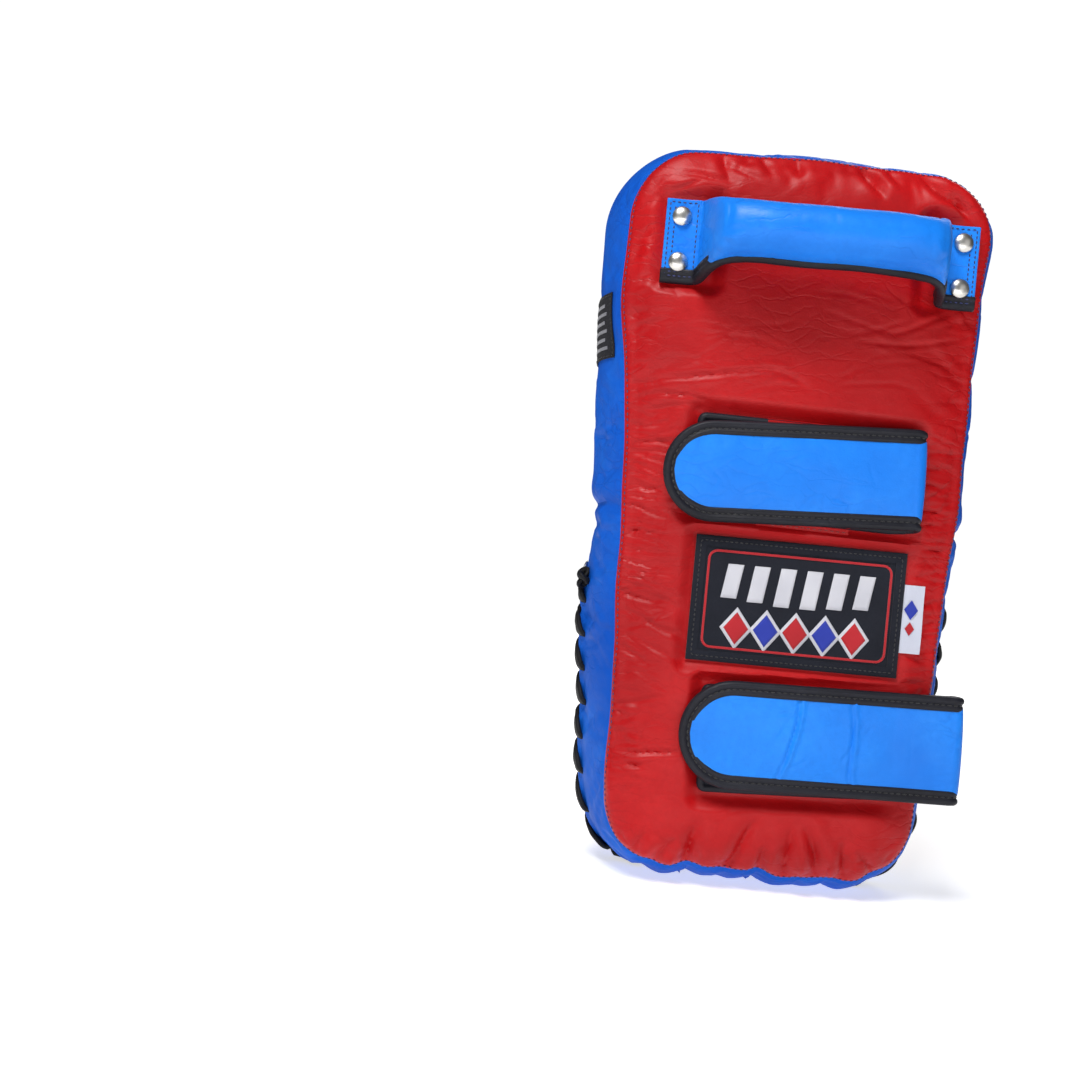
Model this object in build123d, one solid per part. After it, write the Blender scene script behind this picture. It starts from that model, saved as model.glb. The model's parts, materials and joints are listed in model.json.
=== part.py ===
from build123d import *
import math
import os

# A thai pad: a stuffed leather forearm shield with a riveted grip and two hook-and-loop straps.
# Frame: +Z up along the pad's length with the grip at the top, the back with grip and straps
# faces -Y, the strike face faces +Y, the laced side of the gusset is at -X.  Millimetres.
# Everything is drawn about the middle of the stuffed body's thickness.  At the end it is moved
# along Y, so that the origin is the middle of the whole object's base, grip included.

# ------------------------------------------------------------------ stuffed body
PAD_HEIGHT = 400.0
FACE_Y = 50.0                # strike face and back face lie at +FACE_Y and -FACE_Y
SEAM_Y = 41.0                # panels meet the gusset at +SEAM_Y and -SEAM_Y
HALF_WIDTH_TOP = 93.5        # seam outline, half widths at its top and bottom
HALF_WIDTH_BOTTOM = 80.0
SEAM_BOTTOM_Z = 11.0
TOP_CROWN = 5.0              # rise of the curved top edge
TOP_CORNER_R = 28.0
BOTTOM_CORNER_R = 34.0
GUSSET_BULGE = 13.0          # crest of the gusset beyond the seam
PANEL_ROLL_R = 8.5           # rolled edge of the panels
LEATHER = 2.0
CLEAR = 0.4                  # leather to foam
FOAM_SPLIT_Y = 15.0          # the core layer lies between -FOAM_SPLIT_Y and +FOAM_SPLIT_Y
MID_SEAM_Z = 200.0           # cross seam of the gusset

SEAM_TOP_Z = PAD_HEIGHT - GUSSET_BULGE
TOP_CORNER_Z = SEAM_TOP_Z - TOP_CROWN
GUSSET_R = (SEAM_Y**2 + GUSSET_BULGE**2) / (2 * GUSSET_BULGE)

# ------------------------------------------------------------------ lacing
SLIT_TOP_Z = 167.0
SLIT_WIDTH = 3.0
LACE_R = 1.6
LACE_PITCH = 19.0
LACE_REACH_Y = 7.0           # holes lie this far each side of the slit
LACE_OUT = GUSSET_BULGE + 0.8
LACE_IN = 5.0
LACE_BEND_R = 2.0
LACE_FLOOR_Z = LACE_R + 0.1
LACE_CHANNEL = (2.5, 9.5)    # foam channel: inner depth from the seam outline, half width
EYELET_R, EYELET_HOLE_R, EYELET_THICK = 8.0, 4.0, 1.4
EYELET_Y, KNOT_Y, KNOT_R = 16.0, -12.0, 5.0

# ------------------------------------------------------------------ grip
GRIP_X, GRIP_Z = 5.5, 340.0  # centre of the grip on the back
TAB_IN, TAB_OUT = 60.5, 82.5
TAB_HEIGHT, TAB_THICK = 44.0, 4.0
TAB_LIFT, TAB_BAND = 1.0, 3.5  # binding below the tab's lower edge and up its faces
FLEX_X = 56.0                # the tube moves between -FLEX_X and +FLEX_X
FLEX_GAP = 0.3
# half of the arched tube: distance from the middle, height off the back, half height, half depth
GRIP_SECTIONS = [(60.7, 2.1, 21.0, 2.0), (58.8, 11.0, 18.0, 9.6), (55.0, 21.5, 15.8, 13.8),
                 (46.0, 30.0, 14.8, 15.2), (24.0, 35.0, 14.6, 15.5)]
GRIP_MIDDLE = (36.0, 14.6, 15.5)
GRIP_SKIN = 1.6
WEBBING_WIDTH, WEBBING_THICK = 22.0, 1.6
BINDING_DROP, BINDING_HALF_Z, BINDING_HALF_Y = 2.55, 2.4, 2.2
RIVET_OUT, RIVET_DZ = 74.3, 12.0
RIVET_CAP_R, RIVET_CAP_H = 5.0, 2.2
RIVET_POST_R, RIVET_HOLE_R = 2.0, 2.05
BURR_R, BURR_THICK = 4.5, 1.0
BACKING_SIZE, BACKING_THICK = (16.0, 50.0), 3.0
BACKING_OUT = 69.0           # the backings lie a little inside the rivet lines
POCKET_CLEAR = 2.4           # the foam's pocket round each backing and its burrs

# ------------------------------------------------------------------ straps
# fold: middle of the bend (x, z).  tilt, base_tilt: degrees of flap and base.  drop: base below the flap.
# base_left, keeper: x of the base's left end and of the keeper's two ends.  lip: keeper beyond the base.
STRAP_SKIN = 2.4             # leather strip inside its binding
BINDING_SKIN = 0.8
BINDING_BAND = 7.0
STACK = 10.0                 # height of base, pile and flap together off the back
FOLD_IN_R = 1.2
FLAP_GAP = 0.3
KEEPER_THICK, KEEPER_CLEAR = 1.1, 0.05
PILE_HEIGHT = 32.0
PILE_ROUND = 10.0            # how far the hook reaches into the flap's round end
HOOK_THICK, LOOP_THICK = 1.2, 1.7
STRAPS = {
    "upper": dict(fold=(69.4, 225.5), length=135.8, width=52.5, tilt=2.7, base_tilt=-1.0, drop=3.0,
                  base_left=-50.0, keeper=(-15.0, 35.0), lip=2.2),
    "lower": dict(fold=(101.6, 86.5), length=147.1, width=56.0, tilt=1.0, base_tilt=2.4, drop=0.0,
                  base_left=-33.0, keeper=(2.0, 52.0), lip=0.8),
}

# ------------------------------------------------------------------ patches
PATCH_SIZE, PATCH_CENTRE, PATCH_THICK = (111.6, 66.0), (10.7, 154.0), 1.2
TAG_SIZE, TAG_TUCK, TAG_Z, TAG_THICK = (11.0, 36.0), 4.0, 152.6, 0.4
LABEL_Z, LABEL_HALF_Y, LABEL_THICK = (278.0, 313.0), 30.0, 0.6


# ------------------------------------------------------------------ helpers
def slab(sketch, y_low, y_high):
    """A sketch drawn as (x, z), given the depth from y_low to y_high."""
    return extrude(Plane.XZ.offset(-y_high) * sketch, amount=y_high - y_low)


def block(x, y, z):
    """A box between the two values given for each axis."""
    size = [high - low for low, high in (x, y, z)]
    middle = [(high + low) / 2 for low, high in (x, y, z)]
    return Pos(*middle) * Box(*size)


def rod(x, z, radius, y_low, y_high):
    """A round bar along Y."""
    return slab(Pos(x, z) * Circle(radius), y_low, y_high)


def half_width(z):
    """Half width of the seam outline at height z, on its straight side."""
    share = (z - SEAM_BOTTOM_Z) / (TOP_CORNER_Z - SEAM_BOTTOM_Z)
    return HALF_WIDTH_BOTTOM + share * (HALF_WIDTH_TOP - HALF_WIDTH_BOTTOM)


def seam_outline():
    """The outline of both panels at the seam, as (x, z)."""
    top, bottom = TOP_CORNER_Z, SEAM_BOTTOM_Z
    edges = [
        Line((-HALF_WIDTH_BOTTOM, bottom), (HALF_WIDTH_BOTTOM, bottom)),
        Line((HALF_WIDTH_BOTTOM, bottom), (HALF_WIDTH_TOP, top)),
        ThreePointArc((HALF_WIDTH_TOP, top), (0, SEAM_TOP_Z), (-HALF_WIDTH_TOP, top)),
        Line((-HALF_WIDTH_TOP, top), (-HALF_WIDTH_BOTTOM, bottom)),
    ]
    face = make_face(edges)
    upper = face.vertices().filter_by(lambda v: v.Y > MID_SEAM_Z)
    face = fillet(upper, TOP_CORNER_R)
    lower = face.vertices().filter_by(lambda v: v.Y < BOTTOM_CORNER_R)
    return fillet(lower, BOTTOM_CORNER_R)


OUTLINE = seam_outline()


def outline(inset):
    return offset(OUTLINE, amount=-inset) if inset else OUTLINE


def rolled(inset, seam_y, face_y, radius):
    """A slab from the seam to the face, with the face's edge rolled over."""
    body = slab(outline(inset), min(seam_y, face_y), max(seam_y, face_y))
    rim = body.edges().filter_by(lambda e: abs(e.center().Y - face_y) < 0.01)
    return fillet(rim, radius)


def bulged(depth):
    """The whole inside of the gusset, `depth` below its outer surface, flat where it stands."""
    radius = GUSSET_R - depth
    centre = GUSSET_BULGE - GUSSET_R
    edge = centre + math.sqrt(radius**2 - SEAM_Y**2)
    crest = centre + radius
    inner = edge - 6.0
    ring = Plane.XZ * outline(0).face().outer_wire()
    start = ring @ 0
    along = ring % 0
    outward = along.cross(Vector(0, 1, 0))
    if outward.dot(start - Vector(0, 0, PAD_HEIGHT / 2)) < 0:
        outward = -outward
    profile = make_face([
        Line((inner, -SEAM_Y), (edge, -SEAM_Y)),
        ThreePointArc((edge, -SEAM_Y), (crest, 0), (edge, SEAM_Y)),
        Line((edge, SEAM_Y), (inner, SEAM_Y)),
        Line((inner, SEAM_Y), (inner, -SEAM_Y)),
    ])
    section = Plane(origin=start, x_dir=outward, z_dir=along) * profile
    body = sweep(section, path=ring) + slab(outline(max(-edge, 0) + 1.0), -SEAM_Y, SEAM_Y)
    wide = 2 * PAD_HEIGHT
    return body & block((-wide, wide), (-wide, wide), (max(depth, 0), wide))


def slit_path():
    """The line the slit follows: down the laced side, along the base and up the other side."""
    side = half_width(SLIT_TOP_Z)
    corners = [(-side, 0, SLIT_TOP_Z), (-HALF_WIDTH_BOTTOM, 0, SEAM_BOTTOM_Z),
               (HALF_WIDTH_BOTTOM, 0, SEAM_BOTTOM_Z), (side, 0, SLIT_TOP_Z)]
    return FilletPolyline(*corners, radius=BOTTOM_CORNER_R)


SLIT = slit_path()


def slit_frame(distance):
    """A point on the slit's line and the outward direction there."""
    share = distance / SLIT.length
    along = SLIT % share
    return SLIT @ share, Vector(along.Z, 0, -along.X)


def slit_band(low, high, half_y):
    """A band that follows the slit, between two distances outside the seam outline."""
    point, outward = slit_frame(0)
    section = Plane(origin=point, x_dir=outward, z_dir=SLIT % 0)
    return sweep(section * Pos((low + high) / 2, 0) * Rectangle(high - low, 2 * half_y), path=SLIT)


# ------------------------------------------------------------------ body pieces
def panel(side):
    outer = rolled(0, side * SEAM_Y, side * FACE_Y, PANEL_ROLL_R)
    return outer - rolled(LEATHER, side * SEAM_Y, side * (FACE_Y - LEATHER), PANEL_ROLL_R - LEATHER)


def gusset_pieces():
    ring = bulged(0) - bulged(LEATHER)
    wide = 2 * PAD_HEIGHT
    upper = ring & block((-wide, wide), (-wide, wide), (MID_SEAM_Z, wide))
    lower = ring & block((-wide, wide), (-wide, wide), (-wide, MID_SEAM_Z))
    slit = slit_band(-LEATHER, GUSSET_BULGE + LEATHER, SLIT_WIDTH / 2)
    front = (lower & block((-wide, wide), (0, wide), (-wide, wide))) - slit
    back = (lower & block((-wide, wide), (-wide, 0), (-wide, wide))) - slit
    return {"gusset_upper": upper, "gusset_lower_front": front, "gusset_lower_back": back}


def foam_pieces():
    inset = LEATHER + CLEAR
    face = FACE_Y - inset
    roll = PANEL_ROLL_R - inset
    block_all = bulged(inset) + rolled(inset, SEAM_Y, face, roll) + rolled(inset, -SEAM_Y, -face, roll)
    block_all -= slit_band(LACE_CHANNEL[0], GUSSET_BULGE + LEATHER, LACE_CHANNEL[1])
    wide = 2 * PAD_HEIGHT
    layers = {"back_foam": (-wide, -FOAM_SPLIT_Y), "core_foam": (-FOAM_SPLIT_Y, FOAM_SPLIT_Y),
              "strike_foam": (FOAM_SPLIT_Y, wide)}
    foam = {name: block_all & block((-wide, wide), span, (-wide, wide)) for name, span in layers.items()}
    for x in (-BACKING_OUT, BACKING_OUT):
        foam["back_foam"] -= backing_block(x, POCKET_CLEAR, BACKING_THICK + BURR_THICK + CLEAR)
    return foam


def lace():
    """Whip stitching over the slit: across outside, in through a hole, back across inside."""
    count = int(SLIT.length // LACE_PITCH)
    spare = (SLIT.length - count * LACE_PITCH) / 2
    points = []

    def add(distance, y, out):
        point, outward = slit_frame(distance)
        spot = point + outward * out
        floor = LACE_FLOOR_Z if out > LACE_IN else LACE_FLOOR_Z + 2 * LACE_R + CLEAR
        points.append((spot.X, y, max(spot.Z, floor)))

    for turn in range(count):
        start = spare + turn * LACE_PITCH
        add(start, -LACE_REACH_Y, LACE_OUT)
        add(start + LACE_PITCH / 2, LACE_REACH_Y, LACE_OUT)
        add(start + LACE_PITCH / 2, LACE_REACH_Y, LACE_IN)
        add(start + LACE_PITCH, -LACE_REACH_Y, LACE_IN)
    path = FilletPolyline(*points, radius=LACE_BEND_R)
    section = Plane(origin=path @ 0, z_dir=path % 0) * Circle(LACE_R)
    return sweep(section, path=path)


def gusset_spot(y, z, lift):
    """A point on the laced side of the gusset, `lift` above its leather, and its tilt about Z."""
    centre = GUSSET_BULGE - GUSSET_R
    angle = math.asin(y / GUSSET_R)
    out = centre + (GUSSET_R + lift) * math.cos(angle)
    return Pos(-half_width(z) - out, y + lift * math.sin(angle), z), -math.degrees(angle)


def lace_eyelet():
    place, turn = gusset_spot(EYELET_Y, SLIT_TOP_Z - 4, EYELET_THICK / 2)
    ring = Cylinder(EYELET_R, EYELET_THICK) - Cylinder(EYELET_HOLE_R, 2 * EYELET_THICK)
    ring = fillet(ring.edges(), EYELET_THICK * 0.4)
    return place * Rot(0, 0, turn) * Rot(0, 90, 0) * ring


def lace_knot():
    place, _ = gusset_spot(KNOT_Y, SLIT_TOP_Z - 6, KNOT_R * 0.8)
    return place * Sphere(KNOT_R)


def side_label():
    skin = bulged(-LABEL_THICK) - bulged(0)
    return skin & block((-2 * HALF_WIDTH_TOP, 0), (-LABEL_HALF_Y, LABEL_HALF_Y), LABEL_Z)


# ------------------------------------------------------------------ grip pieces
def grip_loft(shrink, span):
    """The arched tube between -span and +span, `shrink` below its surface."""
    def section(x, off, half_z, half_y):
        place = Plane(origin=(GRIP_X + x, -FACE_Y - off, GRIP_Z), x_dir=(0, 1, 0), z_dir=(1, 0, 0))
        return place * Ellipse(half_y - shrink, half_z - shrink)

    left = [section(-x, *rest) for x, *rest in GRIP_SECTIONS]
    right = [section(x, *rest) for x, *rest in reversed(GRIP_SECTIONS)]
    tube = loft(left + [section(0, *GRIP_MIDDLE)] + right)
    wide = PAD_HEIGHT
    return tube & block((GRIP_X - span, GRIP_X + span), (-wide, wide), (0, wide))


def grip_line(drop, half_z, half_y):
    """A thin bar that follows the tube, `drop` below its lower edge."""
    def section(x, off, tube_half_z, tube_half_y):
        place = Plane(origin=(GRIP_X + x, -FACE_Y - off, GRIP_Z - tube_half_z - drop),
                      x_dir=(0, 1, 0), z_dir=(1, 0, 0))
        return place * Ellipse(half_y, half_z)

    sections = [s for s in GRIP_SECTIONS if s[0] < TAB_IN]
    left = [section(-x, *rest) for x, *rest in sections]
    right = [section(x, *rest) for x, *rest in reversed(sections)]
    return loft(left + [section(0, *GRIP_MIDDLE)] + right)


def webbing():
    """The load webbing through the foam roll, flat side to the back."""
    points = [(GRIP_X + x, -FACE_Y - off) for x, off, *rest in GRIP_SECTIONS if x < TAB_IN]
    points += [(GRIP_X, -FACE_Y - GRIP_MIDDLE[0])]
    points += [(2 * GRIP_X - x, y) for x, y in reversed(points[:-1])]
    line = Spline(*points)
    cut = PAD_HEIGHT
    strip = thicken_line(line, WEBBING_THICK)
    band = extrude(Plane.XY.offset(GRIP_Z - WEBBING_WIDTH / 2) * strip, amount=WEBBING_WIDTH)
    inside = FLEX_X - 2 * CLEAR
    return band & block((GRIP_X - inside, GRIP_X + inside), (-cut, cut), (0, cut))


def beside(line, share, distance):
    """A point at a share of a plane curve, moved sideways by a distance."""
    along = line % share
    return line @ share + Vector(-along.Y, along.X, 0) * distance


def thicken_line(line, thick):
    """A flat face that follows a plane curve with an even thickness."""
    shares = [i / 12 for i in range(13)]
    above = Spline(*[beside(line, share, thick / 2) for share in shares])
    below = Spline(*[beside(line, share, -thick / 2) for share in shares])
    return make_face([above, below, Line(above @ 0, below @ 0), Line(above @ 1, below @ 1)])


def rivet_spots():
    return [(GRIP_X + x, GRIP_Z + dz) for x in (-RIVET_OUT, RIVET_OUT) for dz in (-RIVET_DZ, RIVET_DZ)]


def rivet_group(radius, y_low, y_high):
    return [rod(x, z, radius, y_low, y_high) for x, z in rivet_spots()]


def backing_block(x, extra, depth):
    """The space of one backing behind the back panel, with `extra` all round it."""
    wide, tall = BACKING_SIZE
    inner = -FACE_Y + LEATHER
    return block((GRIP_X + x - wide / 2 - extra, GRIP_X + x + wide / 2 + extra), (inner, inner + depth),
                 (GRIP_Z - tall / 2 - extra, GRIP_Z + tall / 2 + extra))


def rivet_cap(x, z):
    """A domed cap: the end of a ball that is RIVET_CAP_H high and RIVET_CAP_R wide."""
    ball = (RIVET_CAP_R**2 + RIVET_CAP_H**2) / (2 * RIVET_CAP_H)
    base = -FACE_Y - TAB_THICK
    dome = Pos(x, base - RIVET_CAP_H + ball, z) * Sphere(ball)
    return dome & block((x - ball, x + ball), (base - ball, base), (z - ball, z + ball))


def grip_pieces():
    outer = grip_loft(0, TAB_IN)
    inner = grip_loft(GRIP_SKIN, TAB_IN)
    wide = PAD_HEIGHT
    moving = block((GRIP_X - FLEX_X, GRIP_X + FLEX_X), (-wide, wide), (0, wide))
    strip = webbing()
    line = grip_line(BINDING_DROP, BINDING_HALF_Z, BINDING_HALF_Y)
    pieces = {
        "handle_grip_cover": (outer - inner) & moving,
        "handle_core": (grip_loft(GRIP_SKIN + 0.1, FLEX_X - CLEAR)) - strip,
        "handle_webbing": strip,
        "handle_binding": line & moving,
    }
    low, high = GRIP_Z - TAB_HEIGHT / 2 + TAB_LIFT, GRIP_Z + TAB_HEIGHT / 2
    front, back = -FACE_Y - TAB_THICK, -FACE_Y
    bindings = []
    for name, side in (("left", -1), ("right", 1)):
        x = sorted((GRIP_X + side * TAB_IN, GRIP_X + side * TAB_OUT))
        plate = block(x, (front, back), (low, high))
        root = sorted((GRIP_X + side * (FLEX_X + FLEX_GAP), GRIP_X + side * (TAB_IN + 0.2)))
        tab = plate + (grip_loft(0, TAB_IN + 1) & block(root, (-wide, back), (0, wide)))
        for spot in rivet_spots():
            tab -= rod(*spot, RIVET_HOLE_R, front, back)
        pieces["handle_tab_" + name] = tab
        around = block(x, (front - BINDING_SKIN, back), (low - TAB_LIFT, low + TAB_BAND))
        bindings.append(around - tab)
    pieces["handle_tab_bindings"] = bindings
    inner_y = -FACE_Y + LEATHER + BACKING_THICK
    pieces["handle_rivet_caps"] = [rivet_cap(x, z) for x, z in rivet_spots()]
    pieces["handle_rivet_posts"] = rivet_group(RIVET_POST_R, front, inner_y + BURR_THICK)
    pieces["handle_rivet_burrs"] = [
        rod(x, z, BURR_R, inner_y, inner_y + BURR_THICK) - rod(x, z, RIVET_HOLE_R, inner_y, inner_y + BURR_THICK)
        for x, z in rivet_spots()]
    backings = []
    for x in (-BACKING_OUT, BACKING_OUT):
        backing = backing_block(x, 0, BACKING_THICK)
        for spot in rivet_spots():
            backing -= rod(*spot, RIVET_HOLE_R, -FACE_Y, inner_y)
        backings.append(backing)
    pieces["handle_backings"] = backings
    return pieces


# ------------------------------------------------------------------ strap pieces
def bound_strip(shape, skin_low, bound_low):
    """A leather strip and the binding that wraps its edge, both lying flat.

    shape(inset) gives the outline as (x, z).  Returns the leather and the binding.
    """
    leather = slab(shape(BINDING_SKIN), skin_low, skin_low + STRAP_SKIN)
    whole = slab(shape(0), bound_low, bound_low + STRAP_SKIN + 2 * BINDING_SKIN)
    middle = slab(shape(BINDING_BAND), bound_low - 1, bound_low + STRAP_SKIN + 2 * BINDING_SKIN + 1)
    return leather, whole - leather - middle


def strap_pieces(name, fold, length, width, tilt, base_tilt, drop, base_left, keeper, lip):
    """One strap.  It is drawn with its fold at x = 0 and runs towards -X."""
    fold_r = STACK / 2
    place = Pos(fold[0], 0, fold[1]) * Rot(0, -tilt, 0)
    base_place = Pos(fold[0], 0, fold[1] - drop) * Rot(0, -base_tilt, 0)
    layer = STRAP_SKIN + 2 * BINDING_SKIN
    beyond = 3 * BINDING_BAND

    def flap_shape(inset):
        end = width / 2 - inset
        left = Pos(-length + width / 2, 0) * Circle(end)
        return left + Pos(-length / 2 + width / 4 + beyond / 2, 0) * Rectangle(
            length - width / 2 + beyond, 2 * end)

    def base_shape(inset):
        left = base_left - fold[0] + inset
        return Pos((left + beyond) / 2, 0) * Rectangle(beyond - left, width - 2 * inset)

    bound_low = -FACE_Y - STACK
    keep = block((-2 * length, -fold_r - FLAP_GAP), (-PAD_HEIGHT, 0), (-width, width))
    flap, flap_binding = bound_strip(flap_shape, bound_low + BINDING_SKIN, bound_low)
    flap, flap_binding = place * (flap & keep), place * (flap_binding & keep)

    low = -FACE_Y - layer
    cut = place * block((-fold_r, 2 * length), (-PAD_HEIGHT, 0), (-2 * width, 2 * width))
    base, base_binding = bound_strip(base_shape, low + BINDING_SKIN, low)
    base, base_binding = base_place * base - cut, base_place * base_binding - cut

    centre_y = -FACE_Y - fold_r
    ring = Pos(-fold_r, centre_y) * (Circle(fold_r) - Circle(FOLD_IN_R))
    ring &= Pos(0, centre_y) * Rectangle(2 * fold_r, 4 * fold_r)
    bend = place * extrude(Plane.XY.offset(-width / 2) * ring, amount=width)

    span = [x - fold[0] for x in keeper]
    patch = base_place * keeper_patch(span, width / 2, lip, low)

    pile = (-PILE_HEIGHT / 2, PILE_HEIGHT / 2)
    pile_right = span[0] - 1
    skin_top = low + BINDING_SKIN
    loop_left = base_left - fold[0] + BINDING_BAND + 1
    loop = base_place * block((loop_left, pile_right), (skin_top - LOOP_THICK, skin_top), pile)
    skin_under = bound_low + BINDING_SKIN + STRAP_SKIN
    hook_left = -length + width / 2 - PILE_ROUND
    hook = place * block((hook_left, pile_right), (skin_under, skin_under + HOOK_THICK), pile)

    prefix = name + "_strap_"
    return {prefix + "base": base, prefix + "base_binding": base_binding, prefix + "keeper": patch,
            prefix + "loop": loop, prefix + "fold": bend, prefix + "flap": flap,
            prefix + "flap_binding": flap_binding, prefix + "hook": hook}


def keeper_patch(span, half, lip, layer_low):
    """The patch over the strip: a bridge that reaches `lip` past each edge."""
    top = layer_low - KEEPER_CLEAR
    half += KEEPER_CLEAR
    cover = block(span, (top - KEEPER_THICK, -FACE_Y), (-half - lip, half + lip))
    return cover - block(span, (top, -FACE_Y), (-half, half))


# ------------------------------------------------------------------ patches
def patches():
    x, z = PATCH_CENTRE
    wide, tall = PATCH_SIZE
    edge = x + wide / 2
    tag = block((edge - TAG_TUCK, edge + TAG_SIZE[0]), (-FACE_Y - TAG_THICK, -FACE_Y),
                (TAG_Z - TAG_SIZE[1] / 2, TAG_Z + TAG_SIZE[1] / 2))
    patch = block((x - wide / 2, edge), (-FACE_Y - PATCH_THICK, -FACE_Y), (z - tall / 2, z + tall / 2))
    return {"name_patch": patch - tag, "side_tag": tag, "side_label": side_label()}


# ------------------------------------------------------------------ everything
def build():
    pieces = {"front_panel": panel(1), "back_panel": panel(-1)}
    for x, z in rivet_spots():
        pieces["back_panel"] -= rod(x, z, RIVET_HOLE_R, -FACE_Y - 1, -FACE_Y + LEATHER + 1)
    pieces |= gusset_pieces() | foam_pieces()
    pieces |= {"gusset_lace": lace(), "lace_eyelet": lace_eyelet(), "lace_knot": lace_knot()}
    pieces |= grip_pieces()
    for name, sizes in STRAPS.items():
        pieces |= strap_pieces(name, **sizes)
    return pieces | patches()


def write(pieces):
    """One STEP file a piece, moved so that the origin is the middle of the whole base."""
    os.makedirs("parts", exist_ok=True)
    grip_reach = GRIP_MIDDLE[0] + GRIP_MIDDLE[2]
    for name, shape in pieces.items():
        items = shape if isinstance(shape, list) else [shape]
        solids = [Pos(0, grip_reach / 2, 0) * solid for item in items for solid in item.solids()]
        whole = solids[0] if len(solids) == 1 else Compound(children=solids)
        export_step(whole, f"parts/{name}.step")


write(build())
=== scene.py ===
import json
import math
import bmesh
import bpy
import numpy as np
from mathutils import Matrix, Vector
from mathutils.bvhtree import BVHTree


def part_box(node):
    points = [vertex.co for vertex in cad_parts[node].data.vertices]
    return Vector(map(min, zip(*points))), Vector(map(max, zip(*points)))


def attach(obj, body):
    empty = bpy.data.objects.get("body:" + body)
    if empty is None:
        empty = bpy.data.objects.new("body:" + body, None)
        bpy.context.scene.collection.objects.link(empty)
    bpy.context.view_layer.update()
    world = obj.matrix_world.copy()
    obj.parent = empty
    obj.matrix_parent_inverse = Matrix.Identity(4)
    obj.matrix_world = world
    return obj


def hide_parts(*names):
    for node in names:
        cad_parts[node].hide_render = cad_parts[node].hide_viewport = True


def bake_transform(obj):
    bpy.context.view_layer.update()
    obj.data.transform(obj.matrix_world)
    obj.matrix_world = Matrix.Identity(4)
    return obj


# Looks of a leather thai pad.  Lengths are millimetres in the CAD frame unless a line says metres.
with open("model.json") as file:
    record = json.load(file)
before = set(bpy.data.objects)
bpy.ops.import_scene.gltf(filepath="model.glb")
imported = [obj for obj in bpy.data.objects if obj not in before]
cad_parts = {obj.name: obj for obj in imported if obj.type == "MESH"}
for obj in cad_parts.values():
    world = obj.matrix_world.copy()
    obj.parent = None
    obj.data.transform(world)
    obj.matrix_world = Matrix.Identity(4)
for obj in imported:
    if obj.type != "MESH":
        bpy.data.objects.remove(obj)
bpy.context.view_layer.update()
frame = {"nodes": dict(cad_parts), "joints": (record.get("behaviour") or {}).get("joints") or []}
MM = 0.001
rng = np.random.default_rng(7)


def box_mm(node):
    low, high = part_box(node)
    return np.array(low) / MM, np.array(high) / MM


# ---- places read from the frame
BACK_LOW, BACK_HIGH = box_mm("back_panel")
BACK_FACE_Y, BACK_SEAM_Y = BACK_LOW[1], BACK_HIGH[1]
FRONT_SEAM_Y = box_mm("front_panel")[0][1]
MID_Y = (BACK_SEAM_Y + FRONT_SEAM_Y) / 2
HALF_DEPTH = (FRONT_SEAM_Y - BACK_SEAM_Y) / 2
BOTTOM_Z, TOP_Z = BACK_LOW[2], BACK_HIGH[2]
BULGE = box_mm("gusset_upper")[1][2] - TOP_Z
MID_SEAM_Z = box_mm("gusset_upper")[0][2]
SLIT_TOP_Z = box_mm("gusset_lace")[1][2]
TAB_LEFT, TAB_RIGHT = box_mm("handle_tab_left"), box_mm("handle_tab_right")
GRIP_X = (TAB_LEFT[0][0] + TAB_RIGHT[1][0]) / 2
GRIP_TOP_Z = TAB_LEFT[1][2]
GRIP_BOTTOM_Z = box_mm("handle_tab_bindings")[0][2]
GRIP_Z = (GRIP_TOP_Z + GRIP_BOTTOM_Z) / 2

# ---- shape of the stuffed body
HALF_WIDTH_TOP, HALF_WIDTH_BOTTOM = 93.5, 80.0
TOP_CROWN = 5.0
TOP_CORNER_R, BOTTOM_CORNER_R = 28.0, 34.0
ROLL_WIDTH, ROLL_HEIGHT = 13.0, 6.4
CROWN_WIDTH, CROWN_HEIGHT = 88.0, 3.4
LEATHER = 1.6
FLOOR_Z = 0.3
COARSE = 4                   # fine mesh cells in one cell of the simulated mesh
SHORT, LONG, ROWS = 160, 352, 80     # cells across and up a panel, and across the wall
SCALLOP_REACH = 12.0
RIGHT_PULL, TOP_PULL = 4.6, 4.8      # how far the stuffing pulls each side's seam over the wall
HIGH_PULL, HIGH_PULL_Z = 3.6, 325.0
LEFT_SLACK, LEFT_SLACK_Z = 1.5, 190.0
LACE_DRAW, LACE_DRAW_Z = 7.0, 130.0
CLOTH_FRAMES, PUFF_CAP, FRONT_PUFF = 18, 5.0, 0.6
CLOTH = {"quality": 6, "mass": 0.25, "tension_stiffness": 18.0, "compression_stiffness": 18.0,
         "shear_stiffness": 6.0, "bending_stiffness": 0.6, "tension_damping": 12.0,
         "compression_damping": 12.0, "air_damping": 4.0, "use_pressure": True,
         "uniform_pressure_force": 5.0, "vertex_group_mass": "held", "vertex_group_shrink": "slack",
         "shrink_min": -0.01, "shrink_max": -0.075}
SEAM_GROOVE_WIDTH = 2.6
HELD_FLAT = ("name_patch", "handle_tab_left", "handle_tab_right", "upper_strap_base", "lower_strap_base")
PRESS_MARGIN, PRESS_SINK = 9.0, 0.5
LIP_RISE, LIP_WIDTH, LIP_FLAT_Z = 2.2, 4.5, 14.0
CALM_ROUNDS = 250

# ---- lace, marks, straps and grip
LACE_PITCH, LACE_REACH, SLIT_GAPE = 19.0, 7.0, 2.6
LACE_WIDTH, LACE_THICK, LACE_LIFT, LACE_FLOOR = 8.5, 3.0, 3.0, 2.8
LABEL_SHIFT = 2.5
PATCH_THICK = 1.1
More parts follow.
